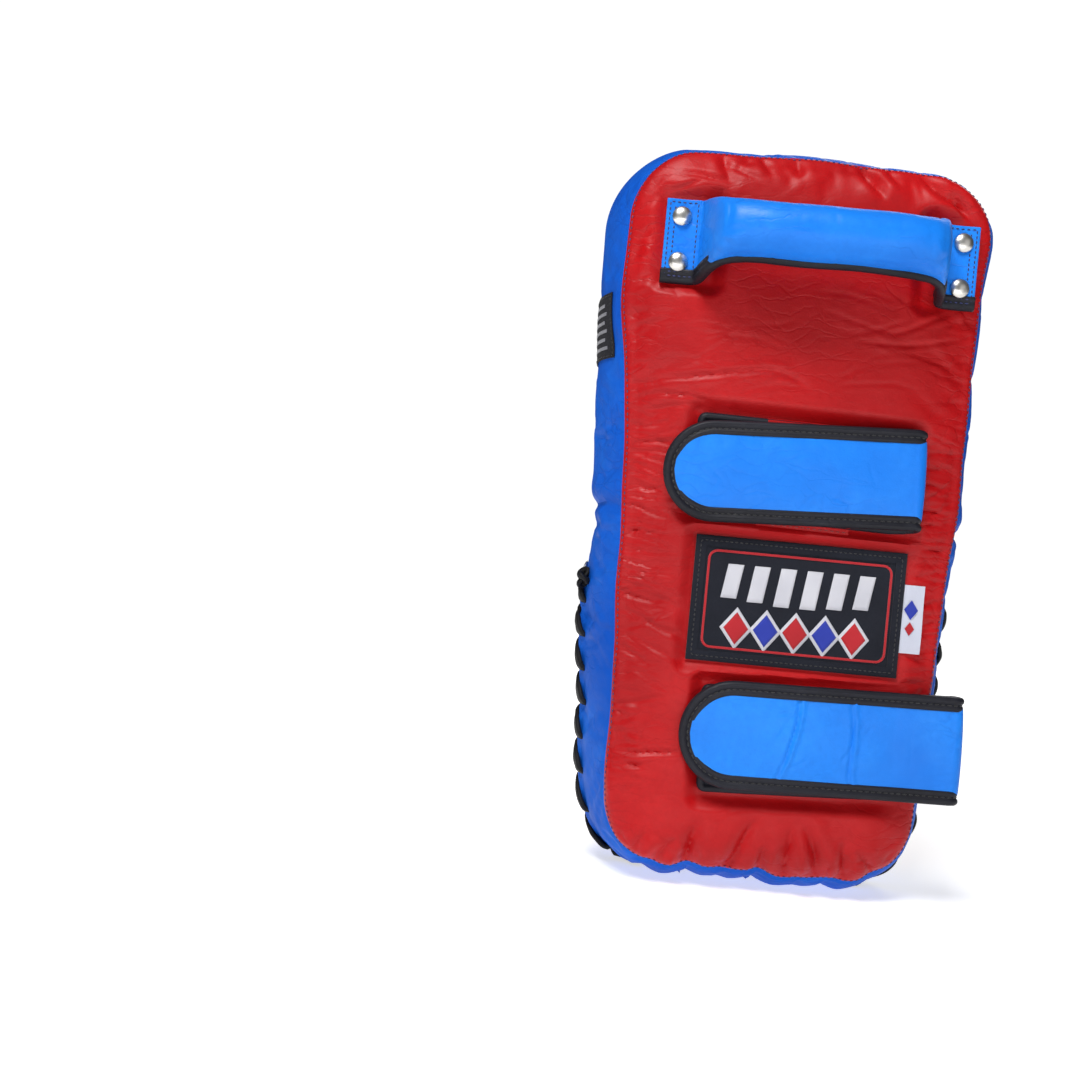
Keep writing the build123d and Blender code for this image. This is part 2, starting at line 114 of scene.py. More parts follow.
# height from the tag's middle, half height
TAG_MARKS = ((5.0, 5.2), (-5.0, 3.6))
BASE_TILT = {"upper": -1.0, "lower": 2.4}        # degrees, under strip against the pad's width
BASE_DROP = {"upper": 3.0, "lower": 0.0}         # how far the under strip lies below the flap's line
BASE_MID, FLAP_MID = 2.0, 8.0                    # middle of each strip's thickness, off the pad
FOLD_TURN, FOLD_DROP_SHARE, FOLD_SLACK = 14.0, 0.5, 0.6
TURN_AHEAD, TURN_BEHIND = 1.4, 0.2   # a stretch ahead of and behind the flap's pivot, slanting across the fold
SQUARE_CORNER = 4.0
LEATHER_INSET, FLAP_LEATHER = 5.4, 2.4
PLUMP_EDGE, PLUMP_MIDDLE, BEND_PROUD = 1.2, 0.75, 0.9
GROOVE, GROOVE_LEVEL = 4.05, 1.5
STRAP_STITCH = (3.3, 2.3, 0.3)
# where the creases start on the top edge, their direction in degrees and their depth
STRAP_CREASES = {"upper": [], "lower": [(-92.0, -84, 0.85), (-57.0, -91, 0.75)]}
CREASE_FLANK = 2.0
# how far the keeper reaches past the strip, and where it goes down: past the edge, or under the binding
KEEPER_LIP = {"upper": 3.2, "lower": 0.9}
KEEPER_STEP = {"upper": 0.7, "lower": -6.6}
PILE_HALF, HOOK_LIFT, LOOP_LIFT = 15.5, 1.7, 2.9
BEND_ROUNDS = 8
BINDING_THICK = 2.55
BACKING_DEPTH = 2.4

# ---- studio
FLOOR_R = 1.9
# from and to, metres away; glow at both
FLOOR_GLOW = (0.25, 1.2, 0.44, 1.0)
REAR_GLOW = (-0.25, 0.2, 0.30, 0.80)
# place in metres, size in metres, watts
LIGHTS = {"key": ((-0.45, -0.9, 1.5), (0.6, 0.6), 25.0), "fill": ((0.9, -1.3, 0.7), (0.9, 0.9), 1.5),
          "low_front": ((-0.1, -1.2, 0.10), (1.6, 0.18), 3.5), "rear": ((0.8, 1.7, 1.4), (1.0, 1.0), 12.0),
          "rear_left": ((-1.5, 0.6, 0.5), (0.6, 0.8), 0.8)}
LIGHT_TARGET = (0.0, 0.0, 0.2)
CAMERA_X, CAMERA_Z, CAMERA_AWAY = -127.0, 176.0, 700.0
CAMERA_LENS, CAMERA_ROLL = 44.3, 5.4

SHARP_EDGE = math.radians(55)
STITCH_RING, STITCH_STEPS = 6, 5
REVERSED = [0, 3, 2, 1]              # a quad's corners the other way round


# ---- small helpers
def turns(count):
    """Evenly spaced angles once round."""
    return np.linspace(0, 2 * math.pi, count, endpoint=False)


def eased(share):
    """Smooth step from 0 to 1."""
    return share * share * (3 - 2 * share)


def powered(values, power):
    """A power that keeps the sign."""
    return np.sign(values) * np.abs(values)**power


def spread(low, high, across, along):
    """Two grids of evenly spaced values between two corners."""
    return np.meshgrid(np.linspace(low[0], high[0], across), np.linspace(low[1], high[1], along),
                       indexing="ij")


def upright(flat, y):
    """(x, z) points as (x, y, z)."""
    return np.stack([flat[..., 0], np.broadcast_to(y, flat.shape[:-1]), flat[..., 1]], -1)


def to_back(count):
    """The direction away from the back panel, once for each of `count` points."""
    return np.tile([0.0, -1.0, 0.0], (count, 1))


def unit(vectors):
    return vectors / np.maximum(np.linalg.norm(vectors, axis=-1, keepdims=True), 1e-9)


def tangents(path, closed=False):
    if closed:
        return unit(np.roll(path, -1, 0) - np.roll(path, 1, 0))
    return unit(np.gradient(path, axis=0))


def arc_length(line):
    """Distance of each point from the line's start."""
    return np.concatenate([[0], np.cumsum(np.linalg.norm(np.diff(line, axis=0), axis=1))])


def read_at(at, reach, values):
    """Rows of values between given reaches."""
    return np.stack([np.interp(at, reach, values[:, k]) for k in range(values.shape[1])], -1)


def resample(path, count, closed=False):
    """The same line with evenly spaced points."""
    line = np.vstack([path, path[:1]]) if closed else np.asarray(path)
    reach = arc_length(line)
    return read_at(np.linspace(0, reach[-1], count, endpoint=not closed), reach, line)


def smoothed(grid, rounds):
    """Relaxes a grid's inside while its border stays."""
    for _ in range(rounds):
        grid[1:-1, 1:-1] = (grid[:-2, 1:-1] + grid[2:, 1:-1] + grid[1:-1, :-2] + grid[1:-1, 2:]) / 4
    return grid


def rectangle(low, high, inset):
    """Corners of a box seen flat, by its first and last axis."""
    return [(low[0] + inset, low[-1] + inset), (high[0] - inset, low[-1] + inset),
            (high[0] - inset, high[-1] - inset), (low[0] + inset, high[-1] - inset)]


def grid_rim(grid):
    """The border of a grid, once round."""
    return np.concatenate([grid[:, 0], grid[-1, 1:], grid[-2::-1, -1], grid[0, -2:0:-1]])


# ---- mesh helpers
def added(name, data):
    """A new object in the scene."""
    thing = bpy.data.objects.new(name, data)
    bpy.context.scene.collection.objects.link(thing)
    return thing


def new_piece(name, points, faces, material, replaced=(), body="pad"):
    """A smooth mesh with one material that rides on a body."""
    mesh = bpy.data.meshes.new(name)
    mesh.from_pydata((np.asarray(points, float) * MM).tolist(), [], [list(map(int, f)) for f in faces])
    mesh.polygons.foreach_set("use_smooth", [True] * len(mesh.polygons))
    mesh.materials.append(material)
    piece = added(name, mesh)
    if body:
        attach(piece, body)
    if replaced:
        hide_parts(*replaced)
    return piece


def outward_faces(piece):
    """Turns a closed piece's faces outward."""
    edit = bmesh.new()
    edit.from_mesh(piece.data)
    bmesh.ops.recalc_face_normals(edit, faces=edit.faces)
    edit.to_mesh(piece.data)
    edit.free()
    return piece


def grid_faces(across, along, flip=False, start=0):
    """Quads over points stored as index = start + i * along + j."""
    i, j = np.meshgrid(np.arange(across - 1), np.arange(along - 1), indexing="ij")
    a = start + i * along + j
    b = a + along
    quads = np.stack([a, b, b + 1, a + 1], -1).reshape(-1, 4)
    return quads[:, ::-1] if flip else quads


def tube_faces(count, ring, closed=False):
    """Quads over `count` rings of points; a closed tube joins its last ring to its first."""
    i, j = np.meshgrid(np.arange(count if closed else count - 1), np.arange(ring), indexing="ij")
    after, beside = (i + 1) % count * ring, (j + 1) % ring
    return np.stack([i * ring + j, after + j, after + beside, i * ring + beside], -1).reshape(-1, 4)


def end_caps(count, ring):
    """The two end faces of an open tube, the first ring's and the last ring's."""
    return tuple(range(ring)), tuple(range((count - 1) * ring, count * ring))


def shell(name, grid, thickness, material, replaced=(), flip=False, body="pad"):
    """A closed sheet of even thickness under a grid of surface points."""
    across, along = grid.shape[:2]
    size = across * along
    under = grid - grid_normals(grid, flip) * thickness
    faces = grid_faces(across, along, flip=flip)
    index = np.arange(size).reshape(across, along)
    rim = grid_rim(index)
    after = np.roll(rim, -1)
    if flip:
        rim, after = after, rim
    edge = np.stack([after, rim, rim + size, after + size], -1)
    points = np.vstack([grid.reshape(-1, 3), under.reshape(-1, 3)])
    faces = np.vstack([faces, faces[:, ::-1] + size, edge])
    piece = new_piece(name, points, faces, material, replaced, body)
    piece.data.set_sharp_from_angle(angle=SHARP_EDGE)
    return piece


def sweep(name, path, side, up, profile, material, replaced=(), closed=False, widths=None, body="pad"):
    """A solid bar along a path.  profile holds (side, up) offsets of a closed section."""
    profile = np.asarray(profile, float)
    widths = np.ones(len(path)) if widths is None else np.asarray(widths)
    sideways = profile[None, :, :1] * widths[:, None, None]
    points = path[:, None] + side[:, None] * sideways + up[:, None] * profile[None, :, 1:]
    count, ring = len(path), len(profile)
    faces = [tuple(f) for f in tube_faces(count, ring, closed)]
    if not closed:
        first, last = end_caps(count, ring)
        faces += [first, last[::-1]]
    return outward_faces(new_piece(name, points.reshape(-1, 3), faces, material, replaced, body))


def join(name, pieces):
    """Joins pieces of one body into the first one."""
    for other in pieces[1:]:
        edit = bmesh.new()
        edit.from_mesh(pieces[0].data)
        edit.from_mesh(other.data)
        edit.to_mesh(pieces[0].data)
        edit.free()
        bpy.data.objects.remove(other)
    pieces[0].name = name
    return pieces[0]


def stitches(name, path, up, sizes, material, lift=0.0, body="pad"):
    """A row of thread stitches: small spindles along a path, sunk halfway.  sizes: pitch, length, radius."""
    pitch, length, radius = sizes
    reach = arc_length(path)
    count = max(int(reach[-1] / pitch), 1)
    at = (np.arange(count) + 0.5) * reach[-1] / count
    normal = unit(read_at(at, reach, up))
    along = read_at(at, reach, tangents(path))
    along = unit(along - normal * np.sum(along * normal, -1, keepdims=True))
    side = np.cross(normal, along)
    t = np.linspace(-1, 1, STITCH_STEPS)
    girth = radius * np.sqrt(np.clip(1.04 - t**4, 0.04, 1))[:, None]
    angle = turns(STITCH_RING)
    centre = read_at(at, reach, path) + normal * lift
    points = (centre[:, None, None] + along[:, None, None] * (t * length / 2)[None, :, None, None]
              + side[:, None, None] * (girth * np.cos(angle))[None, :, :, None]
              + normal[:, None, None] * (girth * np.sin(angle))[None, :, :, None])
    first, last = end_caps(STITCH_STEPS, STITCH_RING)
    one = [tuple(f) for f in tube_faces(STITCH_STEPS, STITCH_RING)[:, REVERSED]] + [first[::-1], last]
    size = STITCH_RING * STITCH_STEPS
    faces = [[v + n * size for v in f] for n in range(count) for f in one]
    return new_piece(name, points.reshape(-1, 3), faces, material, (), body)


# ---- materials
class Graph:
    """A short way to write node materials."""

    def __init__(self, name):
        self.material = bpy.data.materials.new(name)
        self.material.use_nodes = True
        self.tree = self.material.node_tree
        self.tree.nodes.clear()
        self.place = self.add("TexCoord").outputs["Object"]

    def add(self, kind, inputs=None, **settings):
        node = self.tree.nodes.new("ShaderNode" + kind)
        for key, value in settings.items():
            setattr(node, key, value)
        for key, value in (inputs or {}).items():
            if isinstance(value, bpy.types.NodeSocket):
                self.tree.links.new(value, node.inputs[key])
            else:
                node.inputs[key].default_value = value
        return node

    def stretched(self, scale):
        return self.add("Mapping", {"Vector": self.place, "Scale": scale}).outputs[0]

    def noise(self, scale, detail=3.0, rough=0.5, place=None, kind="FBM"):
        node = self.add("TexNoise", {"Vector": place or self.place, "Scale": scale, "Detail": detail,
                                     "Roughness": rough}, noise_type=kind)
        return node.outputs[0]

    def cells(self, scale, place=None, feature="F1"):
        node = self.add("TexVoronoi", {"Vector": place or self.place, "Scale": scale}, feature=feature)
        return node.outputs["Distance"]

    def ramp(self, value, low, high, to_low=0.0, to_high=1.0):
        node = self.add("MapRange", {"Value": value, "From Min": low, "From Max": high,
                                     "To Min": to_low, "To Max": to_high})
        return node.outputs[0]

    def blend(self, share, first, second):
        node = self.add("Mix", data_type="RGBA")
        colours = [s for s in node.inputs if s.type == "RGBA"]
        self.tree.links.new(share, node.inputs[0])
        for socket, value in zip(colours, (first, second)):
            if isinstance(value, bpy.types.NodeSocket):
                self.tree.links.new(value, socket)
            else:
                socket.default_value = (*value, 1)
        return [s for s in node.outputs if s.type == "RGBA"][0]

    def maths(self, operation, first, second):
        return self.add("Math", {0: first, 1: second}, operation=operation).outputs[0]

    def times(self, first, second):
        return self.maths("MULTIPLY", first, second)

    def moved(self, by, size):
        """Object coordinates pushed about by a value or a colour."""
        push = self.add("VectorMath", {0: by, "Scale": size}, operation="SCALE").outputs[0]
        return self.add("VectorMath", {0: self.place, 1: push}, operation="ADD").outputs[0]

    def axis(self, number):
        return self.add("SeparateXYZ", {0: self.place}).outputs[number]

    def bump(self, height, strength, distance, below=None):
        inputs = {"Height": height, "Strength": strength, "Distance": distance * MM}
        if below is not None:
            inputs["Normal"] = below
        return self.add("Bump", inputs).outputs[0]

    def finish(self, colour, roughness, normal, **constants):
        shader = self.add("BsdfPrincipled", {"Base Color": colour, "Roughness": roughness})
        if normal is not None:
            self.tree.links.new(normal, shader.inputs["Normal"])
        for key, value in constants.items():
            shader.inputs[key.replace("_", " ")].default_value = value
        out = self.add("OutputMaterial")
        self.tree.links.new(shader.outputs[0], out.inputs[0])
        return self.material


def leather(name, colour, shade, worn, rough=0.46, grain=0.9, grain_depth=0.09, wrinkle=0.30, coat=0.04,
            shine=0.22, side_creases_and_shade=False):
    """Dyed leather: pebble grain, fine wrinkles with painted shade along their crease lines, uneven dye and
    slightly worn high spots.
    """
    g = Graph(name)
    pebbles = g.cells(1000.0 / grain, g.moved(g.noise(60.0, 3.0), 0.0012), "SMOOTH_F1")
    pores = g.noise(2600.0 / grain, 2.0)
    folds = g.noise(95.0, 7.0, 0.62, g.stretched((1.0, 1.0, 2.1)), "RIDGED_MULTIFRACTAL")
    long_folds = g.noise(26.0, 6.0, 0.58, g.stretched((0.8, 0.8, 2.6)), "RIDGED_MULTIFRACTAL")
    dye = g.ramp(g.noise(11.0, 4.0), 0.36, 0.66)
    mottle = g.ramp(g.noise(330.0, 6.0, 0.72), 0.36, 0.64)
    fine_dye = g.ramp(g.noise(210.0, 4.0), 0.30, 0.75)
    base = g.blend(g.times(mottle, 0.38), g.blend(dye, colour, shade), shade)
    swirl = g.add("TexNoise", {"Vector": g.place, "Scale": 34.0, "Detail": 4.0}).outputs[1]
    wide_cells = g.add("Mapping", {"Vector": g.moved(swirl, 0.026), "Scale": (0.45, 1.0, 1.5)}).outputs[0]
    # net: a fine network of crease lines, bumped in as shallow valleys and painted darker as shade
    net = g.ramp(g.cells(95.0, wide_cells, "DISTANCE_TO_EDGE"), 0.0, 0.10, 1.0, 0.0)
    net_where = g.ramp(g.noise(17.0, 3.0, 0.5), 0.44, 0.62)
    # near the pad's left and right sides there is more of this crease network, with its painted shade
    if side_creases_and_shade:
        across = g.maths("ABSOLUTE", g.axis(0), 0.0)
        net_where = g.maths("MAXIMUM", g.times(net_where, 0.6), g.ramp(across, 0.052, 0.088))
    net = g.times(net, net_where)
    # painted shade: the colour darkens along the ridged fold lines and along the crease network
    crease_line = g.ramp(folds, 0.85, 1.75)
    base = g.blend(g.times(crease_line, 0.55), base, shade)
    base = g.blend(g.times(net, 0.55), base, shade)
    rubbed = g.times(g.ramp(g.noise(38.0, 5.0), 0.52, 0.8), fine_dye)
    base = g.blend(g.times(rubbed, 0.40), base, worn)
    roughness = g.ramp(g.noise(70.0, 4.0), 0.3, 0.7, rough - 0.06, rough + 0.09)
    normal = g.bump(long_folds, wrinkle * 0.8, 1.1)
    normal = g.bump(folds, wrinkle * 1.2, 0.40, normal)
    normal = g.bump(g.times(net, -1.0), min(1.0, wrinkle * 1.6), 0.35, normal)
    normal = g.bump(pebbles, 0.6, grain_depth, normal)
    normal = g.bump(pores, 0.25, grain_depth * 0.5, normal)
    return g.finish(base, roughness, normal, Coat_Weight=coat, Coat_Roughness=0.3, Specular_IOR_Level=shine)


def thread(name, colour, shade):
    """Twisted thread."""
    g = Graph(name)
    twist = g.noise(2200.0, 2.0, 0.5, g.stretched((1.0, 1.0, 2.5)))
    base = g.blend(g.ramp(twist, 0.35, 0.65), colour, shade)
    return g.finish(base, 0.55, g.bump(twist, 0.6, 0.1), Sheen_Weight=0.3)


def woven(name, colour, shade, pitch=0.55, rough=0.72, sheen=0.35):
    """A satin-woven fabric whose ribs run both ways, painted lighter on the ribs and darker between them as
    painted light and shade, under a random cloud of tone.
    """
    g = Graph(name)
    scale = 2 * math.pi / (pitch * MM)
    warp = g.maths("SINE", g.times(g.axis(0), scale), 0.0)
    weft = g.maths("SINE", g.times(g.axis(2), scale * 0.8), 0.0)
    weave = g.times(warp, weft)
    fuzz = g.noise(900.0, 4.0)
    cloud = g.ramp(g.noise(45.0, 3.0), 0.35, 0.7)
    # painted light and shade: lighter on the weave's ribs, darker in the hollows between them; the cloud is
    # random tone
    share = g.maths("ADD", g.ramp(weave, -1.0, 1.0, 0.0, 0.6), g.times(cloud, 0.4))
    base = g.blend(share, shade, colour)
    normal = g.bump(weave, 0.5, 0.12)
    normal = g.bump(fuzz, 0.35, 0.15, normal)
    return g.finish(base, g.ramp(fuzz, 0.3, 0.7, rough - 0.08, rough + 0.08), normal, Sheen_Weight=sheen,
                    Specular_IOR_Level=0.15)


def pile(name, colour, scale):
    """Hook or loop pile: dense tiny tufts, painted lighter in each tuft's middle and darker at its rim as
    painted light and shade.
    """
    g = Graph(name)
    tufts = g.cells(scale, None, "F1")
    # painted light and shade: each tuft cell is a lit copy of the colour in its middle and a shaded copy at
    # its rim
    base = g.blend(g.ramp(tufts, 0.1, 0.8), tuple(2.2 * c for c in colour), tuple(0.4 * c for c in colour))
    return g.finish(base, 0.85, g.bump(tufts, 1.0, 1.2), Sheen_Weight=0.6)


def foam(name, colour):
    """Cut foam with open pores, painted darker in the pores as painted shade."""
    g = Graph(name)
    pores = g.cells(700.0)
    # painted shade: the pores are a darker copy of the foam colour
    base = g.blend(g.ramp(pores, 0.0, 0.7), tuple(0.5 * c for c in colour), colour)
    return g.finish(base, 0.9, g.bump(pores, 0.8, 0.5))


def metal(name, colour, rough, scratch=0.15):
    """Plated metal with faint scratches and handling marks."""
    g = Graph(name)
    lines = g.noise(420.0, 3.0, 0.6, g.stretched((1.0, 1.0, 9.0)))
    marks = g.noise(160.0, 5.0, 0.6)
    base = g.blend(g.ramp(marks, 0.45, 0.75), colour, tuple(0.72 * c for c in colour))
    return g.finish(base, g.ramp(marks, 0.3, 0.75, rough, rough + 0.18), g.bump(lines, scratch, 0.05),
                    Metallic=1.0)


# red leather: more crease network near the pad's sides, painted darker as shade
RED = leather("red_leather", (0.50, 0.004, 0.006), (0.34, 0.002, 0.004), (0.58, 0.022, 0.028),
              side_creases_and_shade=True)
BLUE = leather("blue_leather", (0.010, 0.235, 0.86), (0.005, 0.155, 0.66), (0.04, 0.33, 0.92), rough=0.42)
# the side wall's leather: a darker copy of the strap blue, its extra darkness painted shade on the wall
BLUE_WALL_SHADED = leather("blue_wall_shaded_leather", (0.005, 0.115, 0.60), (0.002, 0.070, 0.44), (0.02, 0.22, 0.78),
                    rough=0.56, coat=0.0, shine=0.12)
BLACK = leather("black_leather", (0.014, 0.015, 0.023), (0.006, 0.006, 0.010), (0.035, 0.037, 0.05),
                rough=0.50, grain=0.7, wrinkle=0.25, coat=0.05)
LACE = leather("lace_leather", (0.008, 0.008, 0.010), (0.003, 0.003, 0.004), (0.022, 0.022, 0.026),
               rough=0.62, grain=0.7, wrinkle=0.5, coat=0.0)
BACKING = leather("backing_leather", (0.30, 0.17, 0.09), (0.22, 0.12, 0.06), (0.40, 0.26, 0.15), rough=0.75,
                  coat=0.0)
NAVY_THREAD = thread("navy_thread", (0.008, 0.02, 0.16), (0.003, 0.008, 0.07))
BLACK_THREAD = thread("black_thread", (0.008, 0.008, 0.010), (0.003, 0.003, 0.004))
RED_THREAD = thread("red_thread", (0.30, 0.008, 0.010), (0.14, 0.003, 0.004))
PATCH = woven("patch_fabric", (0.014, 0.016, 0.026), (0.005, 0.006, 0.011), sheen=0.12)
PATCH_WHITE = woven("patch_white", (0.66, 0.66, 0.70), (0.44, 0.44, 0.50), pitch=0.8, sheen=0.1)
PATCH_RED = woven("patch_red", (0.52, 0.02, 0.03), (0.32, 0.01, 0.015), pitch=0.8)
PATCH_BLUE = woven("patch_blue", (0.03, 0.05, 0.42), (0.015, 0.03, 0.26), pitch=0.8)
TAG = woven("tag_fabric", (0.66, 0.68, 0.78), (0.50, 0.52, 0.62), pitch=0.4, rough=0.6, sheen=0.1)
LABEL = woven("label_fabric", (0.012, 0.012, 0.017), (0.005, 0.005, 0.008), pitch=0.4, sheen=0.03)
LABEL_GREY = woven("label_grey", (0.12, 0.12, 0.15), (0.06, 0.06, 0.08), pitch=0.5)
HOOK = pile("hook_pile", (0.012, 0.012, 0.014), 1400.0)
LOOP = pile("loop_pile", (0.016, 0.016, 0.019), 700.0)
FOAM = foam("core_foam_grey", (0.10, 0.10, 0.11))
NICKEL = metal("nickel", (0.72, 0.70, 0.66), 0.24)
STEEL = metal("rivet_steel", (0.55, 0.55, 0.56), 0.35)


# ---- stuffed body
def rounded(corners, radii):
    """A closed outline with arcs at its corners, and the index of each arc's middle."""
    points, middles = [], []
    for n, (corner, radius) in enumerate(zip(corners, radii)):
        before = unit(corners[n - 1] - corner)
        after = unit(corners[(n + 1) % len(corners)] - corner)
        half = math.acos(float(np.dot(before, after))) / 2
        centre = corner + unit(before + after) * radius / math.sin(half)
        ends = [corner + d * radius / math.tan(half) - centre for d in (before, after)]
        first, last = [math.atan2(z, x) for x, z in ends]
        turn = (last - first + math.pi) % (2 * math.pi) - math.pi
        angles = first + turn * np.linspace(0, 1, 33)
        middles.append(len(points) + 16)
        points += list(centre + radius * np.stack([np.cos(angles), np.sin(angles)], -1))
    return np.array(points), middles


def seam_wander(share):
    """How far the seam strays from its outline, as sewn leather does."""
    waves = [(3, 0.7, 1.1), (5, 0.6, 4.0), (8, 0.45, 2.2), (13, 0.35, 5.3), (21, 0.25, 0.4)]
    return sum(size * np.sin(2 * math.pi * turns * share + phase) for turns, size, phase in waves)


def seam_loop(short, long):
    """The seam outline as (x, z), starting at the lower left corner's middle and going right."""
    top = TOP_Z - TOP_CROWN
    corners = np.array([(-HALF_WIDTH_BOTTOM, BOTTOM_Z), (HALF_WIDTH_BOTTOM, BOTTOM_Z),
                        (HALF_WIDTH_TOP, top), (-HALF_WIDTH_TOP, top)])
    dense, middles = rounded(corners, [BOTTOM_CORNER_R] * 2 + [TOP_CORNER_R] * 2)
    dense = np.roll(dense, -middles[0], 0)
    marks = [m - middles[0] for m in middles[1:]] + [len(dense)]
    dense = np.vstack([dense, dense[:1]])
    sides, start = [], 0
    for mark, count in zip(marks, (short, long, short, long)):
        sides.append(resample(dense[start:mark + 1], count + 1)[:-1])
        start = mark
    loop = np.vstack(sides)
    rise = np.clip((loop[:, 1] - (top - TOP_CORNER_R)) / TOP_CORNER_R, 0, 1)
    loop[:, 1] += TOP_CROWN * (1 - (loop[:, 0] / HALF_WIDTH_TOP)**2) * rise
    foot = np.clip((BOTTOM_Z + SCALLOP_REACH - loop[:, 1]) / SCALLOP_REACH, 0, 1)
    loop[:, 1] += foot * (0.9 * np.sin(loop[:, 0] / 5.2 + 1.0) + 0.7 * np.sin(loop[:, 0] / 3.1) + 0.6)
    return loop


def loop_outward(loop):
    along = tangents(loop, closed=True)
    return np.stack([along[:, 1], -along[:, 0]], -1)


def seam_shift(loop, outward):
    """The stuffing pulls the right, top and upper left seams out, and lets the lower left one in."""
    height = loop[:, 1]
    right = RIGHT_PULL * np.clip(outward[:, 0], 0, 1)**2
    top = TOP_PULL * np.clip(outward[:, 1], 0, 1)**2
    left = np.clip(-outward[:, 0], 0, 1)**2
    high = HIGH_PULL * np.exp(-((height - HIGH_PULL_Z) / 45.0)**2)
    low = LEFT_SLACK * np.clip((LEFT_SLACK_Z - height) / 60.0, 0, 1)
    return right + top + left * (high - low)


def wall_bulge(loop, outward, shift):
    """How far the wall stands out past its seams: least where the lace draws it in at its foot."""
    drawn = np.clip(-outward[:, 0], 0, 1) * np.clip((LACE_DRAW_Z - loop[:, 1]) / 110.0, 0, 1)
    return np.maximum(BULGE - shift - LACE_DRAW * drawn, 1.5)


def panel_grid(loop, short, long):
    """A quad grid inside the loop, as (x, z), relaxed until it is even."""
    bottom, right = loop[:short + 1], loop[short:short + long + 1]
    top = loop[short + long:2 * short + long + 1][::-1]
    left = np.vstack([loop[2 * short + long:], loop[:1]])[::-1]
    u = np.linspace(0, 1, short + 1)[:, None, None]
    v = np.linspace(0, 1, long + 1)[None, :, None]
    grid = (1 - v) * bottom[:, None] + v * top[:, None] + (1 - u) * left[None] + u * right[None]
    grid -= (1 - u) * ((1 - v) * bottom[0] + v * top[0]) + u * ((1 - v) * bottom[-1] + v * top[-1])
    return smoothed(grid, 400)


def seam_distance(points, loop):
    flat = points.reshape(-1, 2)
    nearest = [np.sqrt(((part[:, None] - loop[None])**2).sum(-1).min(1)) for part in np.array_split(flat, 40)]
    return np.concatenate(nearest).reshape(points.shape[:-1])


def panel_rise(distance):
    """How far a panel stands off its seam plane, `distance` in from the seam."""
    roll = 1 - np.clip(distance / ROLL_WIDTH, 0, 1)
    crown = 1 - np.clip(distance / CROWN_WIDTH, 0, 1)
    return ROLL_HEIGHT * np.sqrt(1 - roll**2) + CROWN_HEIGHT * (1 - crown**2)


def stuffed_body(short, long, rows):
    """Back grid, front grid and side grid (loop by rows) of the whole leather skin."""
    loop = seam_loop(short, long)
    share = np.arange(len(loop)) / len(loop)
    outward = loop_outward(loop)
    shift = seam_shift(loop, outward)
    loop = loop + outward * (seam_wander(share) + shift)[:, None]
    grid = panel_grid(loop, short, long)
    rise = panel_rise(seam_distance(grid, loop))
    bulge = wall_bulge(loop, outward, shift)[:, None]
    radius = (HALF_DEPTH**2 + bulge**2) / (2 * bulge)
    angle = np.arcsin(HALF_DEPTH / radius) * np.linspace(-1, 1, rows + 1)
    out = bulge - radius + radius * np.cos(angle)
    side = upright(loop[:, None] + outward[:, None] * out[..., None], MID_Y + radius * np.sin(angle))
    return {"back": upright(grid, BACK_SEAM_Y - rise), "front": upright(grid, FRONT_SEAM_Y + rise),
            "side": side}


def skin_faces(short, long, rows):
    """Faces of the closed skin over the vertices that skin_points stacks."""
    wide, tall, around = short + 1, long + 1, 2 * (short + long)
    size = wide * tall
    ring = ([i * tall for i in range(short)] + [short * tall + j for j in range(long)]
            + [(short - i) * tall + long for i in range(short)] + [long - j for j in range(long)])
    faces = [grid_faces(wide, tall), grid_faces(wide, tall, flip=True, start=size)]
    index = np.empty((around, rows + 1), int)
    index[:, 0] = ring
    index[:, -1] = np.array(ring) + size
    index[:, 1:-1] = 2 * size + np.arange(around * (rows - 1)).reshape(around, rows - 1)
    after = np.roll(index, -1, 0)
    quads = np.stack([index[:, :-1], index[:, 1:], after[:, 1:], after[:, :-1]], -1).reshape(-1, 4)
    return np.vstack(faces + [quads]), index, size


def skin_points(body):
    return np.vstack([body["back"].reshape(-1, 3), body["front"].reshape(-1, 3),
                      body["side"][:, 1:-1].reshape(-1, 3)])


